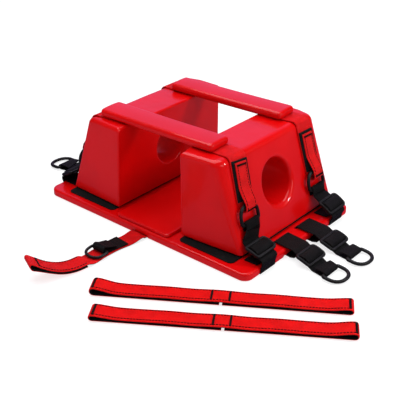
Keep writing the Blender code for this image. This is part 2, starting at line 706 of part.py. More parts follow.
clear_scene()
PARTS = collection("head_immobiliser")
CUTTERS = collection("cutters", hidden=True)
LOOKS = {
    "vinyl": material("red_vinyl", (0.68, 0.004, 0.006), 0.25),
    "strap": material("red_strap", (0.72, 0.008, 0.008), 0.55),
    "webbing": material("black_webbing", (0.014, 0.013, 0.013), 0.8),
    "plastic": material("black_plastic", (0.018, 0.018, 0.019), 0.4),
    "grip": material("black_hook_and_loop", (0.006, 0.006, 0.006), 0.95),
}
base_board(LOOKS["vinyl"])
pads(LOOKS)
for SIDE_NAME, SIDE in (("left", -1), ("right", 1)):
    head_block(SIDE_NAME + "_head_block", SIDE, LOOKS["vinyl"])
for ROW in BARS:
    bar(ROW, LOOKS["vinyl"])
    head_strap(ROW, LOOKS["strap"])
for CORNER in CORNERS:
    corner_harness(CORNER, LOOKS)
for ROW in SIDE_STRAPS:
    side_strap(ROW, LOOKS)
front_strap(LOOKS)
for ROW in LOOSE_STRAPS:
    loose_strap(*ROW, LOOKS["strap"])
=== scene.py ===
"""Looks for the head immobiliser set: dipped foam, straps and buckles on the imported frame.

Metres, +Z up, in the frame's own axes. X runs from the left block to the right one.
-Y is the front.
"""

import math
from collections import namedtuple

import bpy
import numpy as np
from mathutils import Euler, Matrix, Vector


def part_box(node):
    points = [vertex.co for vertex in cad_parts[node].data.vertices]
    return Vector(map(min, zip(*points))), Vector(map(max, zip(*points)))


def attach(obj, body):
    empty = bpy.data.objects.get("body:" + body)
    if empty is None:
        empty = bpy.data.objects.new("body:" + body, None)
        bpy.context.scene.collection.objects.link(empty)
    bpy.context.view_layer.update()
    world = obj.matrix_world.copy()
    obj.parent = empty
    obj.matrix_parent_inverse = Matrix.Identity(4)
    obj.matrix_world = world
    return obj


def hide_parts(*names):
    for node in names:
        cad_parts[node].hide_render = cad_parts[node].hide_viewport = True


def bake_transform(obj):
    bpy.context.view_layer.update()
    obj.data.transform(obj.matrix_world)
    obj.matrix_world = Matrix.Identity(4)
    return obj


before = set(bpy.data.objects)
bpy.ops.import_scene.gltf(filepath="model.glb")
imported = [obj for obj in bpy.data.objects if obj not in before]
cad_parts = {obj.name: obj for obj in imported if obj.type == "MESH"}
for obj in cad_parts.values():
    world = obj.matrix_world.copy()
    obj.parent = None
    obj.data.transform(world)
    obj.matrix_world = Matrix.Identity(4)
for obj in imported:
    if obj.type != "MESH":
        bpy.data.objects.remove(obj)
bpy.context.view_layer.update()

# ---------- sizes shared with the CAD design ----------

GAP = 0.0003
BOARD_X, BOARD_Y, BOARD_T = 0.400, 0.262, 0.012
BOARD_CORNER = 0.014
GRIP_T = 0.0012
BLOCK_BOTTOM = BOARD_T + 2 * GRIP_T + 3 * GAP
BLOCK_TOP = 0.146
BLOCK_IN_B, BLOCK_IN_T = 0.063, 0.0595
BLOCK_OUT_B, BLOCK_OUT_T = 0.169, 0.125
BLOCK_FRONT_B, BLOCK_FRONT_T = -0.111, -0.107
FRONT_SET_BACK = {1: 0.085, -1: 0.045}
BLOCK_BACK_B, BLOCK_BACK_T = 0.130, 0.127
CORNER_R, SHOULDER_R, INNER_R, TOP_R, FOOT_R = 0.012, 0.008, 0.0032, 0.0035, 0.002
EAR_R, EAR_Y, EAR_Z = 0.0325, 0.010, 0.082
BARS = (
    ("front", (-0.0075, -0.0675), 0.212, 0.043, 2.1),
    ("rear", (0.0, 0.0815), 0.209, 0.041, 3.4),
)
BAR_T, BAR_CORNER = 0.012, 0.0065
STRAP_T, STRAP_W = 0.0016, 0.034
STRAP_Z = BLOCK_TOP + GAP + STRAP_T / 2
BAR_BOTTOM = BLOCK_TOP + STRAP_T + 2 * GAP
RING_ROD_R = 0.0026
RING_BAR, RING_ARM, RING_DEPTH = 0.0372, 0.009, 0.0265
RING_FULLNESS = 2.3
WRAP_R = RING_ROD_R + GAP + STRAP_T / 2
HOOK_R = WRAP_R + 0.0016
RING_WEB = 0.0300
GLIDE_W, GLIDE_L, GLIDE_T = 0.0440, 0.0268, 0.003
GLIDE_SLOT, GLIDE_BAR, GLIDE_SLOT_W = 0.0066, 0.0062, 0.0372
GLIDE_FOLD_W, GLIDE_ARCH = 0.0366, 0.0020
GLIDE_LIFT = STRAP_T / 2 + GAP
CHANNEL_W, CHANNEL_D = 0.0362, 0.0026
UNDER_Z = 0.0013
CORNER_START = 0.150
CORNER_CHANNEL = CORNER_START - 0.002
SIDE_SLOT, SLOT_X = 0.176, 0.0044
TAB_W, FOLD_W, FOLD_REACH = 0.0240, 0.0225, 0.0115
PATCH_T = 0.001
STRAP_LIFT = GAP + STRAP_T / 2
PATCH_LIFT = STRAP_T + 2 * GAP + PATCH_T / 2
TAB_LIFT = PATCH_LIFT + PATCH_T / 2 + GAP + STRAP_T / 2
RING_LIFT = WRAP_R + STRAP_T / 2 + GAP
HOOK_LIFT = HOOK_R + STRAP_LIFT
Corner = namedtuple(
    "Corner",
    "name side strap_top strap_low ring_y edge_y ring_height drop tab_top patch_top knee shoulder "
    "share",
)
CORNERS = (
    Corner("front", 1, -0.0625, -0.0725, -0.0715, -0.084, 0.0420, 0.0040, 0.1275, 0.1305,
           (0.1658, 0.0320), (0.2045, 0.0210), 0.52),
    Corner("front", -1, -0.0780, -0.0800, -0.0800, -0.084, 0.0420, 0.0040, 0.1275, 0.1305,
           (0.1690, 0.0365), (0.2055, 0.0180), 0.47),
    Corner("rear", 1, 0.0950, 0.0920, 0.0895, 0.089, 0.0325, 0.0075, 0.1170, 0.1210,
           (0.1735, 0.0365), (0.2065, 0.0185), 0.46),
    Corner("rear", -1, 0.0770, 0.0800, 0.0800, 0.089, 0.0325, 0.0075, 0.1170, 0.1210,
           (0.1735, 0.0365), (0.2065, 0.0185), 0.46),
)
SIDE_STRAPS = (
    ("right_front", 1, -0.020, -0.037, 0.272, (0.212, 0.0142), 0.53),
    ("right_rear", 1, 0.035, 0.022, 0.274, (0.212, 0.0142), 0.56),
    ("left_front", -1, -0.030, -0.047, 0.2545, (0.2035, 0.0215), 0.50),
    ("left_rear", -1, 0.037, 0.026, 0.2505, (0.2035, 0.0225), 0.48),
)
# The last two numbers are the shares of the length at which the two bar tacks cross
LOOSE_STRAPS = (
    (
        "loose_board_strap_1", "loose_strap_1", (0.0505, -0.2755), (0.3415, -0.0885), 0.0065,
        0.0035, 0.470, 0.534,
    ),
    (
        "loose_board_strap_2", "loose_strap_2", (0.0905, -0.3150), (0.3735, -0.1290), 0.0035,
        0.0045, 0.468, 0.531,
    ),
)
LOOSE_W, LOOSE_PLY = 0.029, 0.0026
FRONT_W, FRONT_START, FRONT_PLY = 0.028, -0.070, 0.0024
FRONT_RING = (-0.0080, -0.2030)
FRONT_RING_SIZE, FRONT_WEB = 0.82, 0.0225
FRONT_DOUBLED = -0.2400
FRONT_LOW = 0.0004 + FRONT_PLY / 2
FRONT_CHANNEL, FRONT_CHANNEL_W, FRONT_CHANNEL_D = FRONT_START + 0.002, FRONT_W + 0.002, 0.0044

# ---------- materials ----------


class Nodes:
    """A node tree being built, with short calls for what the looks use."""

    def __init__(self, tree):
        self.tree = tree

    def wire(self, value, socket):
        """Links a socket, or sets it to a number, a vector or a colour without its alpha."""
        if isinstance(value, bpy.types.NodeSocket):
            self.tree.links.new(value, socket)
        elif value is not None:
            socket.default_value = (*value, 1.0) if socket.type == "RGBA" else value

    def add(self, kind, inputs=(), **settings):
        """A new node. inputs pairs the name or number of each input with its value."""
        made = self.tree.nodes.new(kind)
        for key, value in settings.items():
            setattr(made, key, value)
        for key, value in dict(inputs).items():
            self.wire(value, made.inputs[key])
        return made

    def math(self, operation, *values):
        return self.add("ShaderNodeMath", enumerate(values), operation=operation).outputs[0]

    def span(self, *values):
        """A smooth step: the input, its low and high, then the low and high it becomes."""
        made = self.add("ShaderNodeMapRange", enumerate(values), interpolation_type="SMOOTHSTEP")
        return made.outputs["Result"]


class Shading(Nodes):
    """The nodes of one material round its Principled shader."""

    def __init__(self, name):
        self.material = bpy.data.materials.new(name)
        self.material.use_nodes = True
        super().__init__(self.material.node_tree)
        self.shader = self.tree.nodes["Principled BSDF"]
        self.space = self.add("ShaderNodeTexCoord").outputs["Object"]

    def noise(self, size, detail=3.0, rough=0.5):
        inputs = {"Vector": self.space, "Scale": 1 / size, "Detail": detail, "Roughness": rough}
        return self.add("ShaderNodeTexNoise", inputs).outputs["Fac"]

    def mix(self, share, a, b):
        return self.add("ShaderNodeMix", {0: share, 6: a, 7: b}, data_type="RGBA").outputs[2]

    def bump(self, height, distance, strength=1.0, under=None):
        inputs = {"Height": height, "Distance": distance, "Strength": strength, "Normal": under}
        return self.add("ShaderNodeBump", inputs).outputs["Normal"]

    def finish(self, colour, roughness, normal=None, **others):
        inputs = dict(others, Base_Color=colour, Roughness=roughness, Normal=normal)
        for key, value in inputs.items():
            self.wire(value, self.shader.inputs[key.replace("_", " ")])
        return self.material


def vinyl_look():
    """Glossy red plastisol skin on foam: faint waves, orange peel and slightly paler edges."""
    s = Shading("red_dipped_vinyl")
    tone = s.span(s.noise(0.060, 2), 0.35, 0.65, 0.0, 1.0)
    colour = s.mix(tone, (0.590, 0.0010, 0.0014), (0.632, 0.0012, 0.0018))
    edge = s.add("ShaderNodeNewGeometry").outputs["Pointiness"]
    # Convex edges are mixed, in patches, towards a paler pink colour
    paler_edge_patches = s.math(
        "MULTIPLY", s.span(edge, 0.52, 0.60, 0.0, 1.0),
        s.span(s.noise(0.005, 4), 0.4, 0.7, 0.1, 0.8),
    )
    colour = s.mix(s.math("MULTIPLY", paler_edge_patches, 0.12), colour, (0.80, 0.030, 0.045))
    haze = s.span(s.noise(0.035, 4, 0.6), 0.3, 0.75, 0.28, 0.36)
    peel = s.bump(s.noise(0.0022, 2), 0.00004, 0.30)
    normal = s.bump(s.noise(0.042, 1), 0.0007, 0.30, peel)
    return s.finish(
        colour, haze, normal, Coat_Weight=0.45, Coat_Roughness=0.05, Specular_IOR_Level=0.10
    )


def woven(name, dark, light, roughness, warp, weft, depth, gloss):
    """Woven narrow fabric. warp is the pitch of its cords, weft that of the picks along it."""
    s = Shading(name)
    # The mesh's own UV map gives metres across and along the cloth
    uv = s.add("ShaderNodeUVMap", uv_map="cloth").outputs["UV"]
    axes = s.add("ShaderNodeSeparateXYZ", {0: uv}).outputs
    cord = s.math("MULTIPLY", axes["X"], 2 * math.pi / warp)
    pick = s.math("MULTIPLY", axes["Y"], 2 * math.pi / weft)
    checks = s.math("MULTIPLY", s.math("SINE", cord), s.math("SINE", pick))
    ribs = s.math("MULTIPLY", s.math("SINE", s.math("MULTIPLY", pick, 2.0)), 0.35)
    height = s.math("ADD", checks, ribs)
    patchy = s.span(s.noise(0.012, 4), 0.3, 0.7, 0.0, 0.5)
    # The raised cords are painted lighter, a painted highlight on the weave; patchy adds random
    # tone
    share = s.math("ADD", s.span(height, -1.0, 1.2, 0.0, 0.6), patchy)
    colour = s.mix(share, dark, light)
    fuzz = s.bump(s.noise(0.0006, 3), 0.00015, 0.3)
    normal = s.bump(height, depth, 0.9, fuzz)
    return s.finish(colour, roughness, normal, Specular_IOR_Level=gloss)


def pile_look(name, dark, light, grain):
    """Hook-and-loop pile."""
    s = Shading(name)
    fur = s.noise(grain, 4, 0.75)
    colour = s.mix(s.span(fur, 0.3, 0.75, 0.0, 1.0), dark, light)
    normal = s.bump(fur, 0.0007, 1.0)
    return s.finish(
        colour, 0.95, normal, Sheen_Weight=0.02, Sheen_Roughness=0.6, Specular_IOR_Level=0.1
    )


def plastic_look():
    """Moulded black nylon with a fine spark finish and rubbed patches."""
    s = Shading("black_moulded_nylon")
    tone = s.span(s.noise(0.008, 4), 0.3, 0.7, 0.0, 1.0)
    colour = s.mix(tone, (0.0045, 0.0043, 0.0043), (0.0080, 0.0077, 0.0077))
    rough = s.span(s.noise(0.004, 5), 0.3, 0.7, 0.38, 0.55)
    normal = s.bump(s.noise(0.0007, 2), 0.00008, 0.5)
    return s.finish(colour, rough, normal, Specular_IOR_Level=0.25)


def thread_look(name, dark, light):
    s = Shading(name)
    twist = s.noise(0.0005, 2)
    return s.finish(
        s.mix(twist, dark, light), 0.6, s.bump(twist, 0.0001, 0.5), Specular_IOR_Level=0.1
    )


LOOKS = {
    "vinyl": vinyl_look(),
    "strap": woven(
        "red_strap_cloth", (0.52, 0.0012, 0.0020), (0.76, 0.0025, 0.0040),
        roughness=0.5, warp=0.0011, weft=0.0009, depth=0.00016, gloss=0.12,
    ),
    "loose": woven(
        "red_board_strap_cloth", (0.62, 0.0012, 0.0012), (0.86, 0.003, 0.003),
        roughness=0.5, warp=0.0011, weft=0.0009, depth=0.00016, gloss=0.10,
    ),
    "webbing": woven(
        "black_webbing_weave", (0.0010, 0.0008, 0.0008), (0.0058, 0.0052, 0.0052),
        roughness=0.62, warp=0.0016, weft=0.0012, depth=0.0003, gloss=0.16,
    ),
    "plastic": plastic_look(),
    "hook": pile_look("black_hook_tape", (0.0012, 0.0012, 0.0012), (0.006, 0.006, 0.006), 0.0011),
    "loop": pile_look("black_loop_pile", (0.0014, 0.0014, 0.0014), (0.008, 0.0077, 0.0077), 0.0016),
    "black_thread": thread_look("black_thread", (0.0008, 0.0008, 0.0008), (0.004, 0.004, 0.004)),
}

# ---------- surfaces from distance fields ----------


def meet(a, b, radius):
    """Where both a and b are inside, with the shared edge rounded."""
    rim = np.hypot(np.maximum(a + radius, 0), np.maximum(b + radius, 0))
    return np.minimum(-radius, np.maximum(a, b)) + rim


def step_up(value, low, high):
    t = np.clip((value - low) / (high - low), 0, 1)
    return t * t * (3 - 2 * t)


def wobble(p, size):
    """A slow, smooth unevenness between -1 and 1."""
    x, y, z = (p[..., k] * (2 * math.pi / size) for k in range(3))
    first = np.sin(x + 1.7 * np.sin(0.6 * y + 1.0))
    second = np.sin(1.3 * y + 1.1 * np.sin(0.7 * z) + 2.0)
    third = np.sin(1.1 * z + 1.3 * np.sin(0.5 * x) + 4.0)
    return (first + second + third) / 3


def corner_field(qx, qy, radius):
    """Distance to a rounded corner, given the distances past the centre of its arc."""
    past = np.hypot(np.maximum(qx, 0), np.maximum(qy, 0))
    return past + np.minimum(np.maximum(qx, qy), 0) - radius


def box_field(p, centre, half, corner=0.0):
    """Distance to an upright prism on a rounded rectangle, as (outline, height) fields."""
    qx = np.abs(p[..., 0] - centre[0]) - half[0] + corner
    qy = np.abs(p[..., 1] - centre[1]) - half[1] + corner
    return corner_field(qx, qy, corner), np.abs(p[..., 2] - centre[2]) - half[2]


def grid_lines(low, high, coarse, fine, spots, reach):
    """Coordinates from low to high, fine within reach of each spot and growing to coarse."""
    at = [low]
    while at[-1] < high:
        away = min(abs(at[-1] - spot) for spot in spots)
        at.append(at[-1] + float(np.clip(fine + (away - reach) * 0.35, fine, coarse)))
    return np.array(at)


def gradient(field, p):
    step = 2e-5
    slopes = []
    for axis in range(3):
        shift = np.zeros(3)
        shift[axis] = step
        slopes.append(field(p + shift) - field(p - shift))
    return np.stack(slopes, -1) / (2 * step)


def surface_net(field, axes):
    """A quad mesh of the field's zero surface: one vertex in each grid cell it passes through."""
    grid = np.stack(np.meshgrid(*axes, indexing="ij"), -1)
    value = field(grid)
    cells = tuple(n - 1 for n in value.shape)
    total = np.zeros((*cells, 3))
    count = np.zeros(cells)
    crossings = []
    for axis in range(3):
        first = tuple(slice(0, -1) if k == axis else slice(None) for k in range(3))
        second = tuple(slice(1, None) if k == axis else slice(None) for k in range(3))
        a, b = value[first], value[second]
        hit = (a < 0) != (b < 0)
        at = np.argwhere(hit)
        share = (a[hit] / (a[hit] - b[hit]))[:, None]
        points = grid[first][hit] * (1 - share) + grid[second][hit] * share
        one, two = (k for k in range(3) if k != axis)
        around = []
        for back_one, back_two in ((1, 1), (0, 1), (0, 0), (1, 0)):
            cell = at.copy()
            cell[:, one] -= back_one
            cell[:, two] -= back_two
            np.add.at(total, tuple(cell.T), points)
            np.add.at(count, tuple(cell.T), 1)
            around.append(cell)
        outward = (a[hit] < 0) != (axis == 1)
        crossings.append((around, outward))
    used = count > 0
    number = np.full(cells, -1)
    number[used] = np.arange(used.sum())
    verts = total[used] / count[used][:, None]
    faces = []
    for around, outward in crossings:
        quads = np.stack([number[tuple(cell.T)] for cell in around], -1)
        faces.append(np.where(outward[:, None], quads, quads[:, ::-1]))
    return verts, np.concatenate(faces)


def settle(field, verts, faces):
    """Spread the vertices evenly over the surface and put each one exactly on it."""
    edges = np.concatenate([faces[:, [k, (k + 1) % 4]] for k in range(4)])
    for _ in range(3):
        total = np.zeros_like(verts)
        count = np.zeros(len(verts))
        np.add.at(total, edges[:, 0], verts[edges[:, 1]])
        np.add.at(count, edges[:, 0], 1)
        verts = verts * 0.5 + 0.5 * total / count[:, None]
        for _ in range(2):
            slope = gradient(field, verts)
            size = np.maximum((slope**2).sum(-1), 0.25)
            verts = verts - slope * (field(verts) / size)[:, None]
    slope = gradient(field, verts)
    return verts, slope / np.linalg.norm(slope, axis=-1, keepdims=True)


def link(name, data):
    """A new object in the scene."""
    made = bpy.data.objects.new(name, data)
    bpy.context.scene.collection.objects.link(made)
    return made


def mesh_piece(name, verts, faces, looks, indices=None, uvs=None, normals=None):
    mesh = bpy.data.meshes.new(name)
    mesh.from_pydata([tuple(v) for v in verts], [], [tuple(f) for f in faces])
    for look in looks:
        mesh.materials.append(LOOKS[look])
    mesh.polygons.foreach_set("use_smooth", [True] * len(mesh.polygons))
    if indices is not None:
        mesh.polygons.foreach_set("material_index", indices)
        layer = mesh.uv_layers.new(name="cloth")
        layer.data.foreach_set("uv", [number for pair in uvs for number in pair])
    mesh.update()
    if normals is not None:
        mesh.normals_split_custom_set_from_vertices([tuple(n) for n in normals])
    return link(name, mesh)


def stands_for(piece, body, node, slot):
    """Puts a piece on its body, in place of one CAD node, which it hides. slot is not used."""
    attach(piece, body)
    if node:
        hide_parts(node)


def field_mesh(field, axes):
    verts, faces = surface_net(field, axes)
    verts, normals = settle(field, verts, faces)
    return verts, faces.tolist(), normals


def field_piece(name, field, axes, look):
    verts, faces, normals = field_mesh(field, axes)
    return mesh_piece(name, verts, faces, [look], normals=normals)


def foam(piece, body, node):
    """A dipped foam piece that stands for one CAD node."""
    stands_for(piece, body, node, "red_dipped_foam")


# ---------- dipped foam ----------

GRID_PAST = 0.0022  # how far a grid reaches past its surface


def head_block(side_name, side):
    height = BLOCK_TOP - BLOCK_BOTTOM
    tilt_out = height / math.hypot(height, BLOCK_OUT_B - BLOCK_OUT_T)

    def field(p):
        x, y, z = p[..., 0] * side, p[..., 1], p[..., 2]
        up = (z - BLOCK_BOTTOM) / height
        outer = (x - (BLOCK_OUT_B + (BLOCK_OUT_T - BLOCK_OUT_B) * up)) * tilt_out
        inner = (BLOCK_IN_B + (BLOCK_IN_T - BLOCK_IN_B) * up) - x
        front = BLOCK_FRONT_B + (BLOCK_FRONT_T - BLOCK_FRONT_B) * up - y
        front += FRONT_SET_BACK[side] * (x - BLOCK_IN_B)
        back = y - (BLOCK_BACK_B + (BLOCK_BACK_T - BLOCK_BACK_B) * up)
        front_r = 0.007 + 0.010 * np.clip(up, 0, 1) if side > 0 else 0.005
        corner_r = CORNER_R + (front_r - CORNER_R) * (1 - step_up(y, -0.07, 0.0))
        body = meet(outer, meet(front, back, FOOT_R), corner_r)
        body = meet(body, inner, INNER_R)
        towards_shoulder = np.maximum(step_up(x, 0.096, 0.116), 0.8 * step_up(-y, 0.085, 0.100))
        body = meet(body, z - BLOCK_TOP, TOP_R + (SHOULDER_R - TOP_R) * towards_shoulder)
        body = meet(body, BLOCK_BOTTOM - z, FOOT_R)
        bore = EAR_R - np.hypot(y - EAR_Y, z - EAR_Z)
        rim = 0.0030 + 0.0035 * step_up(x, 0.08, 0.12)
        dents = 0.00022 * (1 + wobble(p, 0.075)) + 0.00006 * wobble(p, 0.021)
        return meet(body, bore, rim) + dents

    ends = sorted((side * 0.0545, side * 0.1745))
    pitch = 0.0017
    axes = [
        np.arange(ends[0], ends[1], pitch),
        np.arange(-0.1160, 0.1355, pitch),
        np.arange(BLOCK_BOTTOM - 0.0038, BLOCK_TOP + 0.004, pitch),
    ]
    piece = field_piece(side_name + "_foam_block", field, axes, "vinyl")
    foam(piece, side_name + "_block", side_name + "_head_block")


def board_cuts():
    """Centre and half sizes of the board's slots and of the channels under it."""
    cuts = []
    for corner in CORNERS:
        x = corner.side * (CORNER_CHANNEL + 0.03)
        cuts.append(((x, corner.edge_y, 0), (0.03, CHANNEL_W / 2, CHANNEL_D)))
    for _, side, slot_y, _, _, _, _ in SIDE_STRAPS:
        low, high = SIDE_SLOT - SLOT_X / 2, BOARD_X / 2 + 0.01
        near, far = slot_y - 0.024, slot_y + CHANNEL_W / 2
        middle = (side * (low + high) / 2, (near + far) / 2, 0)
        cuts.append((middle, ((high - low) / 2, (far - near) / 2, CHANNEL_D)))
        cuts.append(((side * SIDE_SLOT, slot_y, 0.005), (SLOT_X / 2, CHANNEL_W / 2, 0.05)))
    past = BOARD_Y / 2 + 0.01
    middle = (0, (FRONT_CHANNEL - past) / 2, 0)
    cuts.append((middle, (FRONT_CHANNEL_W / 2, (FRONT_CHANNEL + past) / 2, FRONT_CHANNEL_D)))
    return cuts


def base_board():
    cuts = board_cuts()

    def field(p):
        outline, _ = box_field(p, (0, 0, 0), (BOARD_X / 2, BOARD_Y / 2, 0), BOARD_CORNER)
        top = p[..., 2] - BOARD_T + 0.00012 * (1 + wobble(p, 0.09))
        body = meet(outline + 0.0001 * (1 + wobble(p, 0.11)), top, 0.0036)
        body = meet(body, -p[..., 2], 0.002)
        for centre, half in cuts:
            beside, above = box_field(p, centre, half)
            body = meet(body, -np.maximum(beside, above), 0.0007)
        return body

    slot = (SIDE_SLOT - SLOT_X / 2, SIDE_SLOT + SLOT_X / 2)
    side_spots = [BOARD_X / 2, *slot, CORNER_CHANNEL, FRONT_CHANNEL_W / 2]
    y_spots = [-BOARD_Y / 2, BOARD_Y / 2, FRONT_CHANNEL]
    for centre, half in cuts[:-1]:
        y_spots += [centre[1] - half[1], centre[1] + half[1]]
    axes = [
        grid_lines(-0.2035, 0.2035, 0.006, 0.0011, side_spots + [-x for x in side_spots], 0.0022),
        grid_lines(-0.1345, 0.1345, 0.006, 0.0012, y_spots, 0.0020),
        grid_lines(
            -0.0021, BOARD_T + 0.0016, 0.0014, 0.0008, [0, BOARD_T, BOARD_T / 2 - 0.002], 0.0015
        ),
    ]
    piece = field_piece("foam_base_board", field, axes, "vinyl")
    foam(piece, "board", "base_board")


def slab(name, node, corner, edge, pitch, look, fuzz=0.0, spread=0.0):
    """A flat rounded piece in a CAD node's box, made larger all round by spread."""
    low, high = (np.array(v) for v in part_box(node))
    low, high = low - (spread, spread, 0), high + (spread, spread, 0.6 * spread)
    middle, half = (low + high) / 2, (high - low) / 2

    def field(p):
        outline, _ = box_field(p, middle, half, corner)
        top = p[..., 2] - high[2] + 0.00008 * (1 + wobble(p, 0.06)) + fuzz * wobble(p, 0.004)
        body = meet(outline + 0.5 * fuzz * (1 + wobble(p, 0.003)), top, edge)
        return meet(body, low[2] - p[..., 2], edge * 0.6)

    tall = 2 * half[2]
    axes = [
        grid_lines(
            low[k] - GRID_PAST, high[k] + GRID_PAST, pitch, pitch * 0.25, [low[k], high[k]],
            edge + 0.0005,
        )
        for k in range(2)
    ]
    rise = tall / max(4, round(tall / 0.0011))
    axes.append(np.arange(low[2] - 1.55 * rise, high[2] + 1.6 * rise, rise))
    return field_piece(name, field, axes, look)


def padded_bar(row):
    """A puffed foam bar, a little askew on its strap and pulled down along its middle."""
    name, middle, length, width, turn = row
    top = BAR_BOTTOM + BAR_T

    def field(p):
        outline, _ = box_field(p, (0, 0, 0), (length / 2, width / 2, 0), BAR_CORNER)
        fall = 0.0011 * (p[..., 1] * 2 / width) ** 2 + 0.0006 * (1 - (p[..., 0] * 2 / length) ** 2)
        above = p[..., 2] - top + fall + 0.00008 * (1 + wobble(p, 0.05))
        return meet(meet(outline, above, 0.0052), BAR_BOTTOM - p[..., 2], 0.0030)

    axes = [
        grid_lines(-half - GRID_PAST, half + GRID_PAST, pitch, 0.0009, [-half, half], BAR_CORNER)
        for half, pitch in ((length / 2, 0.0034), (width / 2, 0.0026))
    ]
    axes.append(np.arange(BAR_BOTTOM - 0.0018, top + 0.0020, 0.0010))
    verts, faces, normals = field_mesh(field, axes)
    spin = np.array(Matrix.Rotation(math.radians(turn), 3, "Z")).T
    verts = verts @ spin + (*middle, 0)
    piece = mesh_piece(name + "_padded_bar", verts, faces, ["vinyl"], normals=normals @ spin)
    foam(piece, "board", name + "_bar")


def centre_pad():
    pad = slab("raised_centre_pad", "centre_pad", 0.006, 0.0022, 0.005, "vinyl")
    foam(pad, "board", "centre_pad")


def grip_sheets():
    for side_name in ("left", "right"):
        for node, body, look, spread in (
            (side_name + "_base_loop_pad", "board", "loop", 0.0),
            # The hook sheet is 2.2 mm larger all round than its pad: a real black pad, widened so
            # that its edge at the block's foot is also painted shade of the gap under the block
            (side_name + "_block_hook_pad", side_name + "_block", "hook", 0.0022),
        ):
            piece = slab(node + "_sheet", node, 0.0075, 0.0004, 0.003, look, 0.00006, spread)
            stands_for(piece, body, node, "hook_and_loop")


# ---------- paths ----------

ARC_STEPS = 16


def rounded_path(points, radii, steps=8):
    """The polyline through the points, with each inner corner rounded to its own radius."""
    points = [Vector(p) for p in points]
    if not isinstance(radii, (list, tuple)):
        radii = [radii] * (len(points) - 2)
    path = [points[0]]
    for before, corner, after, radius in zip(points, points[1:], points[2:], radii):
        back = (before - corner).normalized()
        ahead = (after - corner).normalized()
        angle = back.angle(ahead)
        if angle > math.radians(176):
            path.append(corner)
            continue
        reach = min(
            radius / math.tan(angle / 2), 0.45 * (before - corner).length,
            0.45 * (after - corner).length,
        )
        size = reach * math.tan(angle / 2)
        centre = corner + (back + ahead).normalized() * (size / math.sin(angle / 2))
        first = corner + back * reach - centre
        last = corner + ahead * reach - centre
        sweep = first.angle(last)
        for step in range(steps + 1):
            t = step / steps
            spun = first * math.sin((1 - t) * sweep) + last * math.sin(t * sweep)
            path.append(centre + spun / math.sin(sweep))
    return path + [points[-1]]


def gathered(path, ring_at):
    """Webbing widths along a path: full, and gathered near the bar of a D-ring."""
    far = [min(1.0, max(0.0, ((point - ring_at).length - 0.009) / 0.013)) for point in path]
    return [RING_WEB + (STRAP_W - RING_WEB) * share for share in far]


def wrap(centre, start, turn_axis, sweep, radius=WRAP_R):
    """Points round a ring's bar, from the direction start through sweep about turn_axis."""
    start = Vector(start)
    beside = Vector(turn_axis).cross(start)
    angles = [sweep * step / ARC_STEPS for step in range(ARC_STEPS + 1)]
    return [centre + (start * math.cos(a) + beside * math.sin(a)) * radius for a in angles]


def smooth(points, per_span=8):
    """A Catmull-Rom curve through the points."""
    points = [Vector(p) for p in points]
    ends = [2 * points[0] - points[1]] + points + [2 * points[-1] - points[-2]]
    path = []
    for a, b, c, d in zip(ends, ends[1:], ends[2:], ends[3:]):
        for step in range(per_span):
            t = step / per_span
            cubic = (2 * a - 5 * b + 4 * c - d) * t**2 + (3 * b - a - 3 * c + d) * t**3
            path.append(0.5 * (2 * b + (c - a) * t + cubic))
    return path + [points[-1]]


def face_point(side, y, height, lift):
    """A point on a block's outer face: height up the slope from its foot, lift off the face."""
    rise = Vector((BLOCK_OUT_T - BLOCK_OUT_B, 0, BLOCK_TOP - BLOCK_BOTTOM)).normalized()
    normal = Vector((rise.z, 0, -rise.x))
    point = Vector((BLOCK_OUT_B, 0, BLOCK_BOTTOM)) + rise * height + normal * lift
    return Vector((side * point.x, y, point.z))


def face_directions(side):
    rise = face_point(side, 0, 1, 0) - face_point(side, 0, 0, 0)
    normal = face_point(side, 0, 0, 1) - face_point(side, 0, 0, 0)
    return rise, normal


ASKEW_TOP = 0.130  # how high up the face a strap end stops drifting sideways


def on_face(corner, height, lift):
    """A point on the middle line of a strap end, which runs a little askew down the face."""
    share = (height - corner.ring_height) / (ASKEW_TOP - corner.ring_height)
    y = corner.strap_low + (corner.strap_top - corner.strap_low) * min(1.0, max(0.0, share))
    return face_point(corner.side, y, height, lift)


# ---------- straps ----------


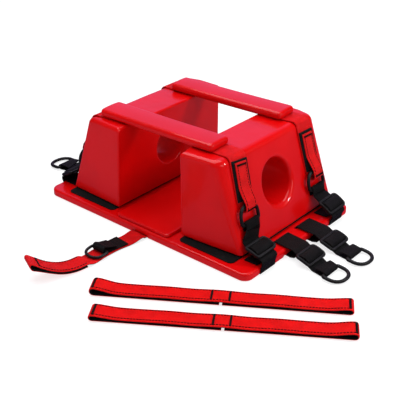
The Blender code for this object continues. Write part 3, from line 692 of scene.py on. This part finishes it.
class Strap:
    """A flat strip swept along a path. Its top faces outward at the share where of its length."""

    def __init__(
        self, path, width, outward, where=0.5, side=(0, 1, 0), pitch=0.0016, soften=0.0008
    ):
        path = np.array([tuple(p) for p in path], float)
        widths = np.array(width if isinstance(width, list) else [width] * len(path), float)
        sides = np.array(side if isinstance(side, list) else [side] * len(path), float)
        run = np.concatenate([[0], np.cumsum(np.linalg.norm(np.diff(path, axis=0), axis=1))])
        keep = np.concatenate([[True], np.diff(run) > 1e-7])
        path, widths, sides, run = path[keep], widths[keep], sides[keep], run[keep]
        self.length = run[-1]
        count = max(8, int(round(self.length / pitch)))
        self.at = np.linspace(0, self.length, count + 1)
        fine = np.linspace(0, self.length, count * 4 + 1)
        centre = np.stack([np.interp(fine, run, path[:, k]) for k in range(3)], -1)
        reach = max(1, int(round(soften / (fine[1] - fine[0]))))
        for _ in range(3):
            padded = np.concatenate(
                [np.repeat(centre[:1], reach, 0), centre, np.repeat(centre[-1:], reach, 0)]
            )
            total = np.cumsum(np.concatenate([np.zeros((1, 3)), padded]), axis=0)
            centre = (total[2 * reach + 1 :] - total[: -2 * reach - 1]) / (2 * reach + 1)
        centre[0], centre[-1] = path[0], path[-1]
        self.centre = centre[::4]
        self.width = np.interp(self.at, run, widths)
        self.side = np.stack([np.interp(self.at, run, sides[:, k]) for k in range(3)], -1)
        self.frames()
        if self.up[int(where * count)].dot(np.array(tuple(outward), float)) < 0:
            self.side, self.up = -self.side, -self.up

    def frames(self):
        tangent = np.gradient(self.centre, axis=0)
        tangent /= np.linalg.norm(tangent, axis=1, keepdims=True)
        side = self.side - tangent * (self.side * tangent).sum(1, keepdims=True)
        self.side = side / np.linalg.norm(side, axis=1, keepdims=True)
        self.up = np.cross(self.side, tangent)

    def point(self, along, across, lift):
        """A point on the strap, lift above its middle surface, and which way is up there."""
        centre, side, up = (
            np.array([np.interp(along, self.at, source[:, k]) for k in range(3)])
            for source in (self.centre, self.side, self.up)
        )
        return centre + side * across + up * lift, up


STITCH, STITCH_PITCH = 0.0029, 0.0040
THREAD_R, THREAD_LIFT = 0.00046, 0.0001
TACK, TACK_PITCH, TACK_R = 0.0030, 0.0008, 0.00052
UNDERSIDE = range(13, 29)  # the points round a strip's section whose faces have its under look


class Sewn:
    """Meshes of one sewn piece, gathered with their materials and cloth coordinates."""

    def __init__(self):
        self.verts, self.faces, self.indices, self.uvs = [], [], [], []

    def strip(self, strap, thickness, top, under=None, puff=0.0):
        """The strap's solid, round at its edges. top and under index its looks; puff swells it."""
        under = top if under is None else under
        half = thickness / 2
        angles = [math.pi * (0.5 - k / 6) for k in range(1, 6)]
        arc = [(a, half * math.cos(a), half * math.sin(a)) for a in angles]
        flat = np.linspace(-1, 1, 11)
        base = len(self.verts)
        rows = []
        for i, along in enumerate(strap.at):
            w = strap.width[i] / 2 - half
            swell = puff * math.sin(
                math.pi * min(1.0, along / 0.006, (strap.length - along) / 0.006) / 2
            )
            row = [(f * w, half + swell * (1 - f * f), f * w) for f in flat]
            row += [(w + out, lift, w + half * (0.5 - a / math.pi) * 2) for a, out, lift in arc]
            row += [(f * w, -half, w * 2 + thickness - f * w) for f in flat[::-1]]
            row += [(-w - out, lift, 3 * w + thickness + half) for _, out, lift in arc[::-1]]
            rows.append(row)
            for across, lift, _ in row:
                self.verts.append(strap.centre[i] + strap.side[i] * across + strap.up[i] * lift)
        around = len(rows[0])
        for i, (low, high) in enumerate(zip(strap.at, strap.at[1:])):
            for j in range(around):
                k = (j + 1) % around
                a, b = base + i * around, base + (i + 1) * around
                self.faces.append((a + j, a + k, b + k, b + j))
                self.indices.append(under if j in UNDERSIDE else top)
                u = rows[i][j][2]
                last = rows[i][k][2] if k else u + 0.0005
                self.uvs += [(u, low), (last, low), (last, high), (u, high)]
        for ring, turn in ((0, -1), (len(rows) - 1, 1)):
            self.faces.append(tuple(base + ring * around + j for j in range(around))[::turn])
            self.indices.append(top)
            self.uvs += [(across, strap.at[ring]) for across, _, _ in rows[ring]][::turn]

    def stitch(self, strap, start, end, lift, look, radius):
        """One stitch of thread lying on the strap between two (along, across) points."""
        base = len(self.verts)
        sides = 6
        marks = (
            (0.0, 0.35, -1.2), (0.12, 0.85, -0.2), (0.5, 1.0, 0.25), (0.88, 0.85, -0.2),
            (1.0, 0.35, -1.2),
        )
        start, end = np.array(start), np.array(end)
        first, last = (strap.point(*spot, lift)[0] for spot in (start, end))
        line = (last - first) / np.linalg.norm(last - first)
        for share, size, sink in marks:
            spot = start + (end - start) * share
            centre, up = strap.point(*spot, lift + math.copysign(radius * sink, lift))
            beside = np.cross(line, up)
            for k in range(sides):
                a = 2 * math.pi * k / sides
                self.verts.append(
                    centre + (beside * math.cos(a) * 1.25 + up * math.sin(a)) * radius * size
                )
        rings = [[base + ring * sides + k for k in range(sides)] for ring in range(len(marks))]
        loops = [rings[0], rings[-1][::-1]]
        for one, two in zip(rings, rings[1:]):
            loops += [(one[k - 1], two[k - 1], two[k], one[k]) for k in range(sides)]
        self.faces += loops
        self.indices += [look] * len(loops)
        self.uvs += [(0.0, 0.0)] * sum(len(loop) for loop in loops)

    def seam(self, strap, start, end, lift, look, radius=0.00042):
        """A row of stitches between two (along, across) points."""
        start, end = np.array(start), np.array(end)
        count = max(1, int(np.linalg.norm(end - start) / STITCH_PITCH))
        step = (end - start) / count
        for k in range(count):
            first = start + step * k
            self.stitch(strap, first, first + step * (STITCH / STITCH_PITCH), lift, look, radius)

    def bar_tack(self, strap, along, width, lift, look):
        """A dense bar of thread across the strap."""
        count = int(width / TACK_PITCH)
        for k in range(count):
            across = -width / 2 + (k + 0.5) * width / count
            lean = 0.0004 if k % 2 else -0.0004
            start, end = (along - TACK / 2, across - lean), (along + TACK / 2, across + lean)
            self.stitch(strap, start, end, lift, look, TACK_R)

    def piece(self, name, looks, *place):
        """The finished piece. place is its body, its CAD node and its slot."""
        made = mesh_piece(name, self.verts, self.faces, looks, self.indices, self.uvs)
        if place:
            stands_for(made, *place)
        return made


def strap_end(corner):
    """Path of a strap end round a ring's curved end, its widths, and where its peel tab goes on."""
    _, normal = face_directions(corner.side)
    apex = corner.ring_height + RING_DEPTH
    turn_at = apex - corner.drop
    turn = wrap(on_face(corner, turn_at, HOOK_LIFT), -normal, (0, corner.side, 0), -math.pi, HOOK_R)
    lean_start = on_face(corner, apex + 0.002, HOOK_LIFT + HOOK_R)
    lean_end = on_face(corner, apex + 0.024, TAB_LIFT)
    seam = lean_start.lerp(lean_end, FOLD_REACH / 0.024)
    path = [on_face(corner, turn_at + h, STRAP_LIFT) for h in (0.0080, 0.0015)]
    path += turn + [lean_start]
    widths = [STRAP_W, FOLD_W + 0.002] + [FOLD_W] * (len(turn) + 1)
    return path, widths, seam, lean_start, lean_end


def head_strap(row):
    name, middle, length, _, turn = row

    def half(corner):
        rise, _ = face_directions(corner.side)
        foot = face_point(corner.side, 0, 0, STRAP_LIFT)
        corner_x = foot.x + rise.x * (STRAP_Z - foot.z) / rise.z
        fold, widths, _, lean_start, lean_end = strap_end(corner)
        fold, widths = fold + [lean_start.lerp(lean_end, 0.10)], widths + [FOLD_W]
        reach = corner.side * length * 0.38
        bar_end = Vector(
            (middle[0] + reach, middle[1] + reach * math.sin(math.radians(turn)), STRAP_Z)
        )
        edge = Vector((corner_x, corner.strap_top, STRAP_Z))
        path = rounded_path([bar_end, edge, fold[0]], SHOULDER_R + STRAP_LIFT, 10)
        return path + fold[1:], [STRAP_W] * len(path) + widths[1:]

    right, left = (half(corner) for corner in CORNERS if corner.name == name)
    strap = Strap(left[0][::-1] + right[0], left[1][::-1] + right[1], (0, 0, 1), soften=0.0006)
    sewn = Sewn()
    sewn.strip(strap, STRAP_T, 0)
    # The tab's stitching runs on round the fold, on the side that was under
    edge, under = FOLD_W / 2 - 0.0026, -(STRAP_T / 2 + 0.0002)
    for low, high in ((0.0005, 0.0115), (strap.length - 0.0115, strap.length - 0.0005)):
        for across in (-edge, edge):
            sewn.seam(strap, (low, across), (high, across), under, 1, radius=THREAD_R)
    for along in (0.0120, strap.length - 0.0120):
        sewn.bar_tack(strap, along, 2 * edge + 0.002, under, 1)
    sewn.piece(
        name + "_head_strap_cloth", ("strap", "black_thread"), "board", name + "_head_strap",
        "red_strap",
    )


def peel_tab(prefix, corner):
    side = corner.side
    low = corner.ring_height + RING_DEPTH - corner.drop + 0.0085
    ends = [on_face(corner, h, PATCH_LIFT) for h in (low, corner.patch_top)]
    patch = Strap(ends, STRAP_W - 0.001, (side, 0, 0), pitch=0.0025)
    sewn = Sewn()
    sewn.strip(patch, PATCH_T + 0.0002, 0)
    edge = patch.width[0] / 2 - 0.0018
    for across in (-edge, edge):
        sewn.seam(
            patch, (0.002, across), (patch.length - 0.002, across), PATCH_T / 2 + THREAD_LIFT, 1
        )
    sewn.piece(
        prefix + "_loop_tape", ("loop", "black_thread"), "board", prefix + "_loop_patch",
        "hook_and_loop",
    )

    _, _, seam, lean_start, lean_end = strap_end(corner)
    route = [
        lean_start.lerp(lean_end, 0.03), lean_end,
        on_face(corner, corner.tab_top, TAB_LIFT + 0.0002),
    ]
    tab = Strap(rounded_path(route, 0.02), TAB_W, (side, 0, 0), pitch=0.0015)
    tab.width = tab.width - 0.0008 * (1 - step_up(tab.at, 0.0, 0.012))
    thick = STRAP_T + 0.0006
    sewn = Sewn()
    sewn.strip(tab, thick, 0, 1, puff=0.0007)
    edge = TAB_W / 2 - 0.0034
    low, high = 0.0008, tab.length - 0.0040
    for across in (-edge, edge):
        sewn.seam(tab, (low, across), (high, across), thick / 2 + 0.0004, 2, radius=THREAD_R)
    sewn.bar_tack(tab, high, 2 * edge + 0.002, thick / 2 + 0.00045, 2)
    piece = sewn.piece(prefix + "_peel_tab_cloth", ("strap", "hook", "black_thread"))
    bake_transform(piece)
    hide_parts(prefix + "_peel_tab")


# ---------- moulded parts ----------


def d_outline():
    """The D-ring's rod line in its own frame: straight bar on x = 0, arms, and the curved end."""
    half = RING_BAR / 2
    corner = 0.0030
    turns = [math.pi * k / 10 for k in range(1, 6)]
    points = [(0, -half + corner + (2 * (half - corner)) * k / 12) for k in range(13)]
    points += [(corner * (1 - math.cos(a)), half - corner * (1 - math.sin(a))) for a in turns]
    points.append((RING_ARM * 0.7, half))
    power = 2 / RING_FULLNESS
    for step in range(31):
        angle = math.pi * (0.5 - step / 30)
        reach = (RING_DEPTH - RING_ARM) * abs(math.cos(angle)) ** power
        spread = half * abs(math.sin(angle)) ** power
        points.append((RING_ARM + reach, math.copysign(spread, math.sin(angle))))
    points.append((RING_ARM * 0.7, -half))
    points += [(corner * (1 - math.sin(a)), -half + corner * (1 - math.cos(a))) for a in turns]
    return np.array([(x, y, 0) for x, y in points + points[:1]])


def ring_mesh():
    """A moulded D-ring: round rod with the faint raised line where the mould halves met."""
    outline = d_outline()
    run = np.concatenate([[0], np.cumsum(np.linalg.norm(np.diff(outline, axis=0), axis=1))])
    at = np.linspace(0, run[-1], 121)[:-1]
    line = np.stack([np.interp(at, run, outline[:, k]) for k in range(3)], -1)
    for _ in range(4):
        line = 0.25 * np.roll(line, 1, 0) + 0.5 * line + 0.25 * np.roll(line, -1, 0)
    tangent = np.roll(line, -1, 0) - np.roll(line, 1, 0)
    tangent /= np.linalg.norm(tangent, axis=1, keepdims=True)
    beside = np.cross(tangent, (0, 0, 1))
    sides = 26
    verts, faces = [], []
    for i, spot in enumerate(line):
        for k in range(sides):
            angle = 2 * math.pi * k / sides
            ridge = 0.00013 * max(0.0, abs(math.cos(angle)) - 0.93) / 0.07
            r = RING_ROD_R - 0.00002 + ridge
            spoke = beside[i] * math.cos(angle) + np.array((0, 0, 1)) * math.sin(angle)
            verts.append(spot + spoke * r)
            a, b, n = i * sides, ((i + 1) % len(line)) * sides, (k + 1) % sides
            faces.append((a + k, a + n, b + n, b + k))
    return np.array(verts), faces


def placed(verts, location, euler):
    """Points turned by XYZ euler angles and moved to a location."""
    return verts @ np.array(Euler(euler, "XYZ").to_matrix()).T + np.array(location)


RING = ring_mesh()


def ring(name, node, body, location, euler, size=1.0):
    piece = mesh_piece(name, placed(RING[0] * size, location, euler), RING[1], ["plastic"])
    stands_for(piece, body, node, "black_plastic")


def glide_field(p):
    """A tri-glide lying flat: a slot either side of a middle bar, and arched side rails."""
    x, y, z = np.abs(p[..., 0]), np.abs(p[..., 1]), p[..., 2]
    outline, _ = box_field(p, (0, 0, 0), (GLIDE_L / 2, GLIDE_W / 2, 0), 0.0052)
    arch = GLIDE_ARCH * np.clip(1 - (x / (GLIDE_L / 2)) ** 2, 0, 1) * step_up(y, 0.0180, 0.0200)
    plate = meet(outline, z - GLIDE_T / 2 - arch, 0.0013)
    plate = meet(plate, -GLIDE_T / 2 - z, 0.0011)
    low, high = GLIDE_BAR / 2, GLIDE_BAR / 2 + GLIDE_SLOT
    round_r = 0.0026
    qx = np.abs(x - (low + high) / 2) - GLIDE_SLOT / 2 + round_r
    qy = y - GLIDE_SLOT_W / 2 + round_r
    return meet(plate, -corner_field(qx, qy, round_r), 0.0009)


def glide_mesh():
    pitch = 0.00062
    axes = [
        np.arange(low - 2.1 * pitch, high + 3 * pitch, step)
        for low, high, step in (
            (-GLIDE_L / 2, GLIDE_L / 2, pitch),
            (-GLIDE_W / 2, GLIDE_W / 2, pitch),
            (-GLIDE_T / 2, GLIDE_T / 2 + GLIDE_ARCH, pitch * 0.9),
        )
    ]
    return field_mesh(glide_field, axes)[:2]


GLIDE = glide_mesh()


def tri_glide(prefix, body, start, end, share, side):
    """A tri-glide at a share of a straight webbing run, and the hump of webbing over its bar."""
    along = (end - start).normalized()
    flat = Vector((along.x, 0, along.z)).normalized()
    up = Vector((0, 1, 0)).cross(flat) * -side
    middle = start.lerp(end, share)
    turn = -math.atan2(flat.z, flat.x)
    own_up = Euler((0, turn, 0), "XYZ").to_matrix() @ Vector((0, 0, 1))
    flip = 1 if own_up.dot(up) > 0 else -1
    where = middle + up * (GLIDE_LIFT + GLIDE_T / 2)
    verts = placed(GLIDE[0] * (1, 1, flip), where, (0, turn, 0))
    piece = mesh_piece(
        prefix + "_tri_glide_frame", verts, [f[::flip] for f in GLIDE[1]], ["plastic"]
    )
    stands_for(piece, body, prefix + "_tri_glide", "black_plastic")

    over = GLIDE_LIFT + GLIDE_T + GAP + STRAP_T / 2 + 0.0018
    foot = GLIDE_LIFT + 0.0006
    hump = []
    for k in range(25):
        a = math.pi * k / 24
        reach = -0.0086 * math.copysign(abs(math.cos(a)) ** 0.75, math.cos(a))
        hump.append(middle + flat * reach + up * (foot + (over - foot) * math.sin(a) ** 0.8))
    fold = Strap(hump, GLIDE_FOLD_W, up, pitch=0.0008, soften=0.0004)
    sewn = Sewn()
    sewn.strip(fold, STRAP_T, 0)
    sewn.piece(
        prefix + "_webbing_hump", ("webbing",), body, prefix + "_glide_fold", "black_webbing"
    )


# ---------- webbing ----------

WEBBING_TACK = 0.028


def webbing_piece(name, node, strap, tacks=()):
    sewn = Sewn()
    sewn.strip(strap, STRAP_T, 0)
    for along in tacks:
        sewn.bar_tack(strap, along, WEBBING_TACK, STRAP_T / 2, 1)
    sewn.piece(name, ("webbing", "black_thread"), "board", node, "black_webbing")


def corner_harness(corner):
    side, ring_y, edge_y = corner.side, corner.ring_y, corner.edge_y
    ring_height = corner.ring_height
    prefix = ("left_" if side < 0 else "right_") + corner.name
    rise, normal = face_directions(side)
    peel_tab(prefix, corner)

    bar_at = face_point(side, ring_y, ring_height, RING_LIFT)
    slope = math.atan2(rise.z, rise.x) - side * math.atan2(HOOK_LIFT - RING_LIFT, RING_DEPTH)
    ring(prefix + "_corner_d_ring", prefix + "_corner_ring", "board", bar_at, (0, -slope, 0))

    edge_x = side * (BOARD_X / 2 + GAP + STRAP_T / 2)
    shoulder = Vector((side * corner.shoulder[0], edge_y, corner.shoulder[1]))
    knee = Vector((side * corner.knee[0], (ring_y + edge_y) / 2, corner.knee[1]))
    route = [
        Vector((side * CORNER_START, edge_y, UNDER_Z)),
        Vector((edge_x, edge_y, UNDER_Z)),
        Vector((edge_x, edge_y, BOARD_T - 0.004)),
        shoulder,
        knee,
        face_point(side, ring_y, ring_height - 0.010, RING_LIFT + 0.0015),
        face_point(side, ring_y, ring_height - 0.002, RING_LIFT + WRAP_R),
    ]
    fold = wrap(bar_at, normal, (0, side, 0), -math.pi)
    tail = face_point(side, ring_y, ring_height - 0.009, RING_LIFT - WRAP_R)
    path = rounded_path(route, [0.0012, 0.006, 0.0045, 0.006, 0.006])[:-1] + fold + [tail]
    strap = Strap(path, gathered(path, bar_at), (side, 0, 0), 0.6, soften=0.0005, pitch=0.0013)
    webbing_piece(
        prefix + "_corner_webbing_weave", prefix + "_corner_webbing", strap, (strap.length - 0.030,)
    )

    inner = [
        Vector((side * 0.1725, edge_y, BOARD_T + 0.0009)),
        Vector((side * 0.1860, edge_y, BOARD_T + 0.0011)),
        Vector((side * 0.1945, edge_y, BOARD_T + 0.0016)),
    ]
    inner_strap = Strap(smooth(inner), STRAP_W, (0, 0, 1))
    webbing_piece(prefix + "_inner_webbing", None, inner_strap)
    tri_glide(prefix + "_corner", prefix + "_corner_buckle", shoulder, knee, corner.share, -side)


def side_strap(row):
    name, side, slot_y, ring_y, out, crest_at, share = row
    ring_z = WRAP_R + STRAP_T / 2 + GAP

    def at(x, z):
        turned = max(0.0, (x - 0.200) / (out - 0.200))
        return Vector((side * x, slot_y + (ring_y - slot_y) * min(1.0, turned), z))

    crest = at(*crest_at)
    landing = at(out - 0.0195, 0.0016)
    bar_at = at(out, ring_z)
    route = [
        at(0.218, 0.0055),
        at(0.207, UNDER_Z),
        at(SIDE_SLOT, UNDER_Z),
        at(SIDE_SLOT, BOARD_T + 0.0025),
        crest,
        landing,
        bar_at - Vector((0, 0, WRAP_R)),
    ]
    fold = wrap(bar_at, (0, 0, -1), (0, side, 0), -math.pi)
    tail = [at(out - 0.006, ring_z + WRAP_R), at(out - 0.015, ring_z + 0.0026)]
    path = rounded_path(route, 0.003)[:-1] + fold + tail
    strap = Strap(path, gathered(path, bar_at), (0, 0, 1), 0.6, soften=0.0006, pitch=0.0013)
    webbing_piece(
        name + "_side_webbing_weave", name + "_side_webbing", strap, (strap.length - 0.007,)
    )
    tilt = side * math.atan2(ring_z - RING_ROD_R - GAP, RING_DEPTH)
    turn = (0, tilt, 0) if side > 0 else (0, math.pi + tilt, 0)
    ring(name + "_side_d_ring", name + "_side_ring", name + "_side_ring", bar_at, turn)
    tri_glide(name + "_side", name + "_side_buckle", crest, landing, share, side)


def level_sides(path):
    """For each point of a path, the horizontal direction across it."""
    sides = []
    for before, after in zip(path[:1] + path, path[1:] + path[-1:]):
        step = after - before
        flat = Vector((step.x, step.y, 0))
        across = Vector((-flat.y, flat.x, 0)).normalized()
        if sides and across.dot(sides[-1]) < 0:
            across = -across
        sides.append(across if flat.length > 1e-6 else sides[-1])
    return sides


# ---------- front strap and loose straps ----------


FOLD_STEPS = 14


def folded_back(upper, gap_low, gap_tip, ply, stop_y):
    """Doubles a path at its far end: a round turn, then back under it until it reaches stop_y."""
    last = upper[-1]
    ahead = (upper[-1] - upper[-2]).normalized()
    reach = gap_tip + ply
    turn = []
    for step in range(1, FOLD_STEPS + 1):
        angle = math.pi * step / FOLD_STEPS
        drop = reach / 2 * (1 - math.cos(angle))
        turn.append(last + ahead * (0.5 * reach * math.sin(angle)) - Vector((0, 0, drop)))
    lower = []
    for point in upper[-2::-1]:
        if point.y > stop_y:
            break
        blend = max(0.0, 1 - (point - last).length / 0.035)
        lower.append(point - Vector((0, 0, ply + gap_low + (gap_tip - gap_low) * blend**2)))
    return upper + turn + lower


def top_along(strap, x, y):
    """Where the strap's upper ply passes a point on the floor."""
    beneath = np.where(strap.up[:, 2] > 0.5, 0, 1)
    away = np.hypot(strap.centre[:, 0] - x, strap.centre[:, 1] - y) + beneath
    return strap.at[int(np.argmin(away))]


def front_strap():
    low = FRONT_LOW
    route = [
        (0, FRONT_START, UNDER_Z + 0.0002), (0, -0.129, UNDER_Z + 0.0002), (0, -0.138, 0.0044),
        (-0.002, -0.155, low), (-0.006, -0.180, low), (-0.007, -0.205, low), (-0.006, -0.228, low),
        (-0.0065, -0.2385, low + 0.0037), (-0.0085, -0.2550, low + 0.0042),
        (-0.0125, -0.2700, low + 0.0062), (-0.0175, -0.2840, low + 0.0112),
        (-0.0225, -0.2965, low + 0.0187), (-0.0290, -0.3115, low + 0.0305),
    ]
    upper = smooth(route)
    path = folded_back(upper, 0.0012, 0.0066, FRONT_PLY, FRONT_DOUBLED)
    turned = level_sides(upper)
    sides = (turned + [turned[-1]] * FOLD_STEPS + turned[-2::-1])[: len(path)]
    strap = Strap(
        path, FRONT_W, (0, 0, 1), 0.3, [tuple(s) for s in sides], pitch=0.0018, soften=0.0006
    )
    sewn = Sewn()
    sewn.strip(strap, FRONT_PLY, 0, 1)
    start, end = top_along(strap, -0.0065, -0.240), top_along(strap, -0.0290, -0.3115)
    edge = FRONT_W / 2 - 0.0027
    for across in (-edge, edge):
        sewn.seam(
            strap, (start, across), (end - 0.010, across), FRONT_PLY / 2 + THREAD_LIFT, 2,
            radius=0.0006,
        )
    sewn.bar_tack(strap, end - 0.010, 2 * edge + 0.001, FRONT_PLY / 2 + THREAD_LIFT, 2)
    sewn.piece(
        "front_strap_cloth", ("strap", "hook", "black_thread"), "board", "front_strap", "red_strap"
    )

    sheet_z = low + FRONT_PLY / 2 + GAP + STRAP_T / 2
    rod = RING_ROD_R * FRONT_RING_SIZE
    wrap_r = rod + GAP + STRAP_T / 2
    bar_at = Vector((*FRONT_RING, sheet_z + wrap_r))
    fold = wrap(bar_at + Vector((0, 0, 0.0019)), (0, 0, -1), (-1, 0, 0), math.pi, wrap_r + 0.0019)
    path = [Vector((-0.0045, -0.163, sheet_z)), Vector((-0.0065, -0.184, sheet_z))] + fold
    path += [bar_at + Vector((0, 0.0070, 0.0034)), bar_at + Vector((0.001, 0.021, -0.0004))]
    widths = [FRONT_W, FRONT_W - 0.001] + [FRONT_WEB] * (len(fold) + 1) + [FRONT_WEB + 0.003]
    webbing = Strap(path, widths, (0, 0, 1), 0.1, (1, 0, 0), pitch=0.0013, soften=0.0006)
    webbing_piece("front_strap_webbing_weave", "front_strap_webbing", webbing)
    fall = math.atan2(
        bar_at.z - FRONT_LOW - FRONT_PLY / 2 - rod - GAP, RING_DEPTH * FRONT_RING_SIZE
    )
    turn = (0, fall, -math.pi / 2)
    ring("front_strap_d_ring", "front_strap_ring", "front_ring", bar_at, turn, FRONT_RING_SIZE)


def loose_strap(name, body, start, end, open_start, open_end, *tacks):
    """A flattened loop of strap: red outside, hook tape inside, its ends under the middle."""
    start, end = Vector((*start, 0)), Vector((*end, 0))
    along = (end - start).normalized()
    across = Vector((-along.y, along.x, 0))
    length = (end - start).length
    low = 0.0003 + LOOSE_PLY / 2
    high = low + LOOSE_PLY + 0.0008

    def at(distance, z):
        return start + along * distance + Vector((0, 0, z))

    def end_loop(place, tip):
        """From the floor round the open end to the lower ply; place maps the distance in."""
        radius = (high + tip - low) / 2
        turn = [math.pi * step / ARC_STEPS for step in range(ARC_STEPS + 1)]
        points = [
            at(place(radius * (1 - math.sin(a))), low + radius * (1 - math.cos(a))) for a in turn
        ]
        marks = ((0.010, 0.86), (0.018, 0.55), (0.027, 0.22), (0.036, 0.05), (0.046, 0.0))
        fall = smooth([(*mark, 0) for mark in marks], 3)
        return points + [at(place(step.x + 0.3 * radius), high + tip * step.y) for step in fall]

    gap_at = length * 0.505
    left = end_loop(lambda distance: distance, open_start)
    right = end_loop(lambda distance: length - distance, open_end)[::-1]
    top = []
    for k in range(25):
        share = k / 24
        wave = 0.0005 * (1 - math.cos(share * 6 * math.pi)) * math.sin(math.pi * share)
        top.append(at(0.055 + (length - 0.11) * share, high + wave))
    path = [at(gap_at - 0.002, low), at(0.030, low)] + left + top + right
    path += [at(length - 0.030, low), at(gap_at + 0.002, low)]
    strap = Strap(
        path, LOOSE_W - 0.0022, (0, 0, 1), 0.5, tuple(across), pitch=0.0024, soften=0.0008
    )
    sewn = Sewn()
    sewn.strip(strap, LOOSE_PLY, 0, 1)
    first = top_along(strap, *(start + along * 0.004)[:2])
    last = top_along(strap, *(start + along * (length - 0.004))[:2])
    edge = LOOSE_W / 2 - 0.0042
    for offset in (-edge, edge):
        sewn.seam(
            strap, (first, offset), (last, offset), LOOSE_PLY / 2 + THREAD_LIFT, 2, radius=0.00062
        )
    for spot in [first, last] + [top_along(strap, *start.lerp(end, share)[:2]) for share in tacks]:
        sewn.bar_tack(strap, spot, 2 * edge + 0.002, LOOSE_PLY / 2 + THREAD_LIFT, 2)
    sewn.piece(name + "_cloth", ("loose", "hook", "black_thread"), body, name, "red_strap")


# ---------- the object ----------

base_board()
centre_pad()
grip_sheets()
for SIDE_NAME, SIDE in (("left", -1), ("right", 1)):
    head_block(SIDE_NAME, SIDE)
for ROW in BARS:
    padded_bar(ROW)
    head_strap(ROW)
for CORNER in CORNERS:
    corner_harness(CORNER)
for ROW in SIDE_STRAPS:
    side_strap(ROW)
front_strap()
for ROW in LOOSE_STRAPS:
    loose_strap(*ROW)

# ---------- stage ----------

LENS = 75.2, 36.0  # focal length and sensor width, in millimetres
VIEW = (0.7750, -0.9002, 0.6552), (0.0227, -0.0088, 0.0081)
FLOOR_REACH, FLOOR_Z, FLOOR_GLOW = 30.0, -0.0006, 0.74
BACKDROP = (-0.60, 0.65, 0.47)  # the direction in which gloss sees it
WORLD_LIGHT = 0.44
STRIP_AIM = (0.12, 0.01, 0.08)  # the right ear hole


def aim(obj, eye, target):
    """Puts a camera or a light at eye, looking at target."""
    obj.location = eye
    obj.rotation_euler = (Vector(target) - Vector(eye)).to_track_quat("-Z", "Y").to_euler()


def area_light(name, location, target, size, power, colour=(1, 1, 1)):
    light = bpy.data.lights.new(name, "AREA")
    light.shape = "RECTANGLE"
    light.size, light.size_y = size
    light.energy = power
    light.color = colour
    aim(link(name, light), location, target)


def seen_by_gloss(s, plain, dark):
    """plain, or dark to a mirror-like ray, as a studio's black flags keep gloss clean."""
    return s.mix(s.add("ShaderNodeLightPath").outputs["Is Glossy Ray"], plain, dark)


def pale_floor():
    mesh = bpy.data.meshes.new("floor")
    corners = [
        (x * FLOOR_REACH, y * FLOOR_REACH, 0) for x, y in ((-1, -1), (1, -1), (1, 1), (-1, 1))
    ]
    mesh.from_pydata(corners, [], [(0, 1, 2, 3)])
    s = Shading("pale_floor")
    tone = s.mix(s.noise(0.8, 2), (0.32, 0.32, 0.32), (0.34, 0.34, 0.34))
    glow = seen_by_gloss(s, (1.0, 1.0, 1.0), (0.16, 0.12, 0.24))
    tone = seen_by_gloss(s, tone, (0.03, 0.02, 0.04))
    glow = {"Emission_Color": glow, "Emission_Strength": FLOOR_GLOW}
    mesh.materials.append(s.finish(tone, 0.9, Specular_IOR_Level=0.0, **glow))
    floor = link("floor", mesh)
    floor.location = (0, 0, FLOOR_Z)


def studio():
    """A pale world. Gloss sees it dark, with one pale backdrop up behind the object to the left."""
    world = bpy.data.worlds.new("studio")
    world.use_nodes = True
    s = Nodes(world.node_tree)
    back = s.tree.nodes["Background"]
    towards = s.add("ShaderNodeTexCoord").outputs["Generated"]
    lobe = {0: towards, 1: Vector(BACKDROP).normalized()}
    lobe = s.add("ShaderNodeVectorMath", lobe, operation="DOT_PRODUCT").outputs["Value"]
    gloss = {"Color": (0.60, 0.42, 0.86), "Strength": s.span(lobe, 0.62, 0.96, 0.03, 0.85)}
    gloss = s.add("ShaderNodeBackground", gloss).outputs[0]
    ray = s.add("ShaderNodeLightPath").outputs
    # It shows at full strength and lights the object at WORLD_LIGHT
    shown = s.math("MULTIPLY_ADD", ray["Is Camera Ray"], 1 - WORLD_LIGHT, WORLD_LIGHT)
    s.wire((0.95, 0.97, 1.0), back.inputs["Color"])
    s.wire(shown, back.inputs["Strength"])
    seen = enumerate((ray["Is Glossy Ray"], back.outputs[0], gloss))
    both = s.add("ShaderNodeMixShader", seen).outputs[0]
    s.wire(both, s.tree.nodes["World Output"].inputs["Surface"])
    bpy.context.scene.world = world


def camera():
    data = bpy.data.cameras.new("camera")
    data.lens, data.sensor_width = LENS
    bpy.context.scene.camera = link("camera", data)
    aim(bpy.context.scene.camera, *VIEW)


camera()
pale_floor()
studio()
area_light("overhead_box", (-0.3, -0.05, 1.8), (0, -0.05, 0), (1.9, 1.6), 33.0, (0.94, 0.96, 1.0))
area_light("right_box", (1.7, -0.2, 1.0), (0.1, 0, 0.08), (0.8, 0.8), 4.0)
area_light("front_box", (-0.5, -1.9, 0.9), (0, 0, 0.08), (1.0, 0.8), 0.8)
for SHIFT in (0.0, 0.11):
    STRIP_NAME = "strip_%d" % round(SHIFT * 100)
    area_light(STRIP_NAME, (0.95, 0.42 + SHIFT, 0.75), STRIP_AIM, (0.035, 0.22), 2.6)
bpy.context.scene.view_settings.view_transform = "Standard"
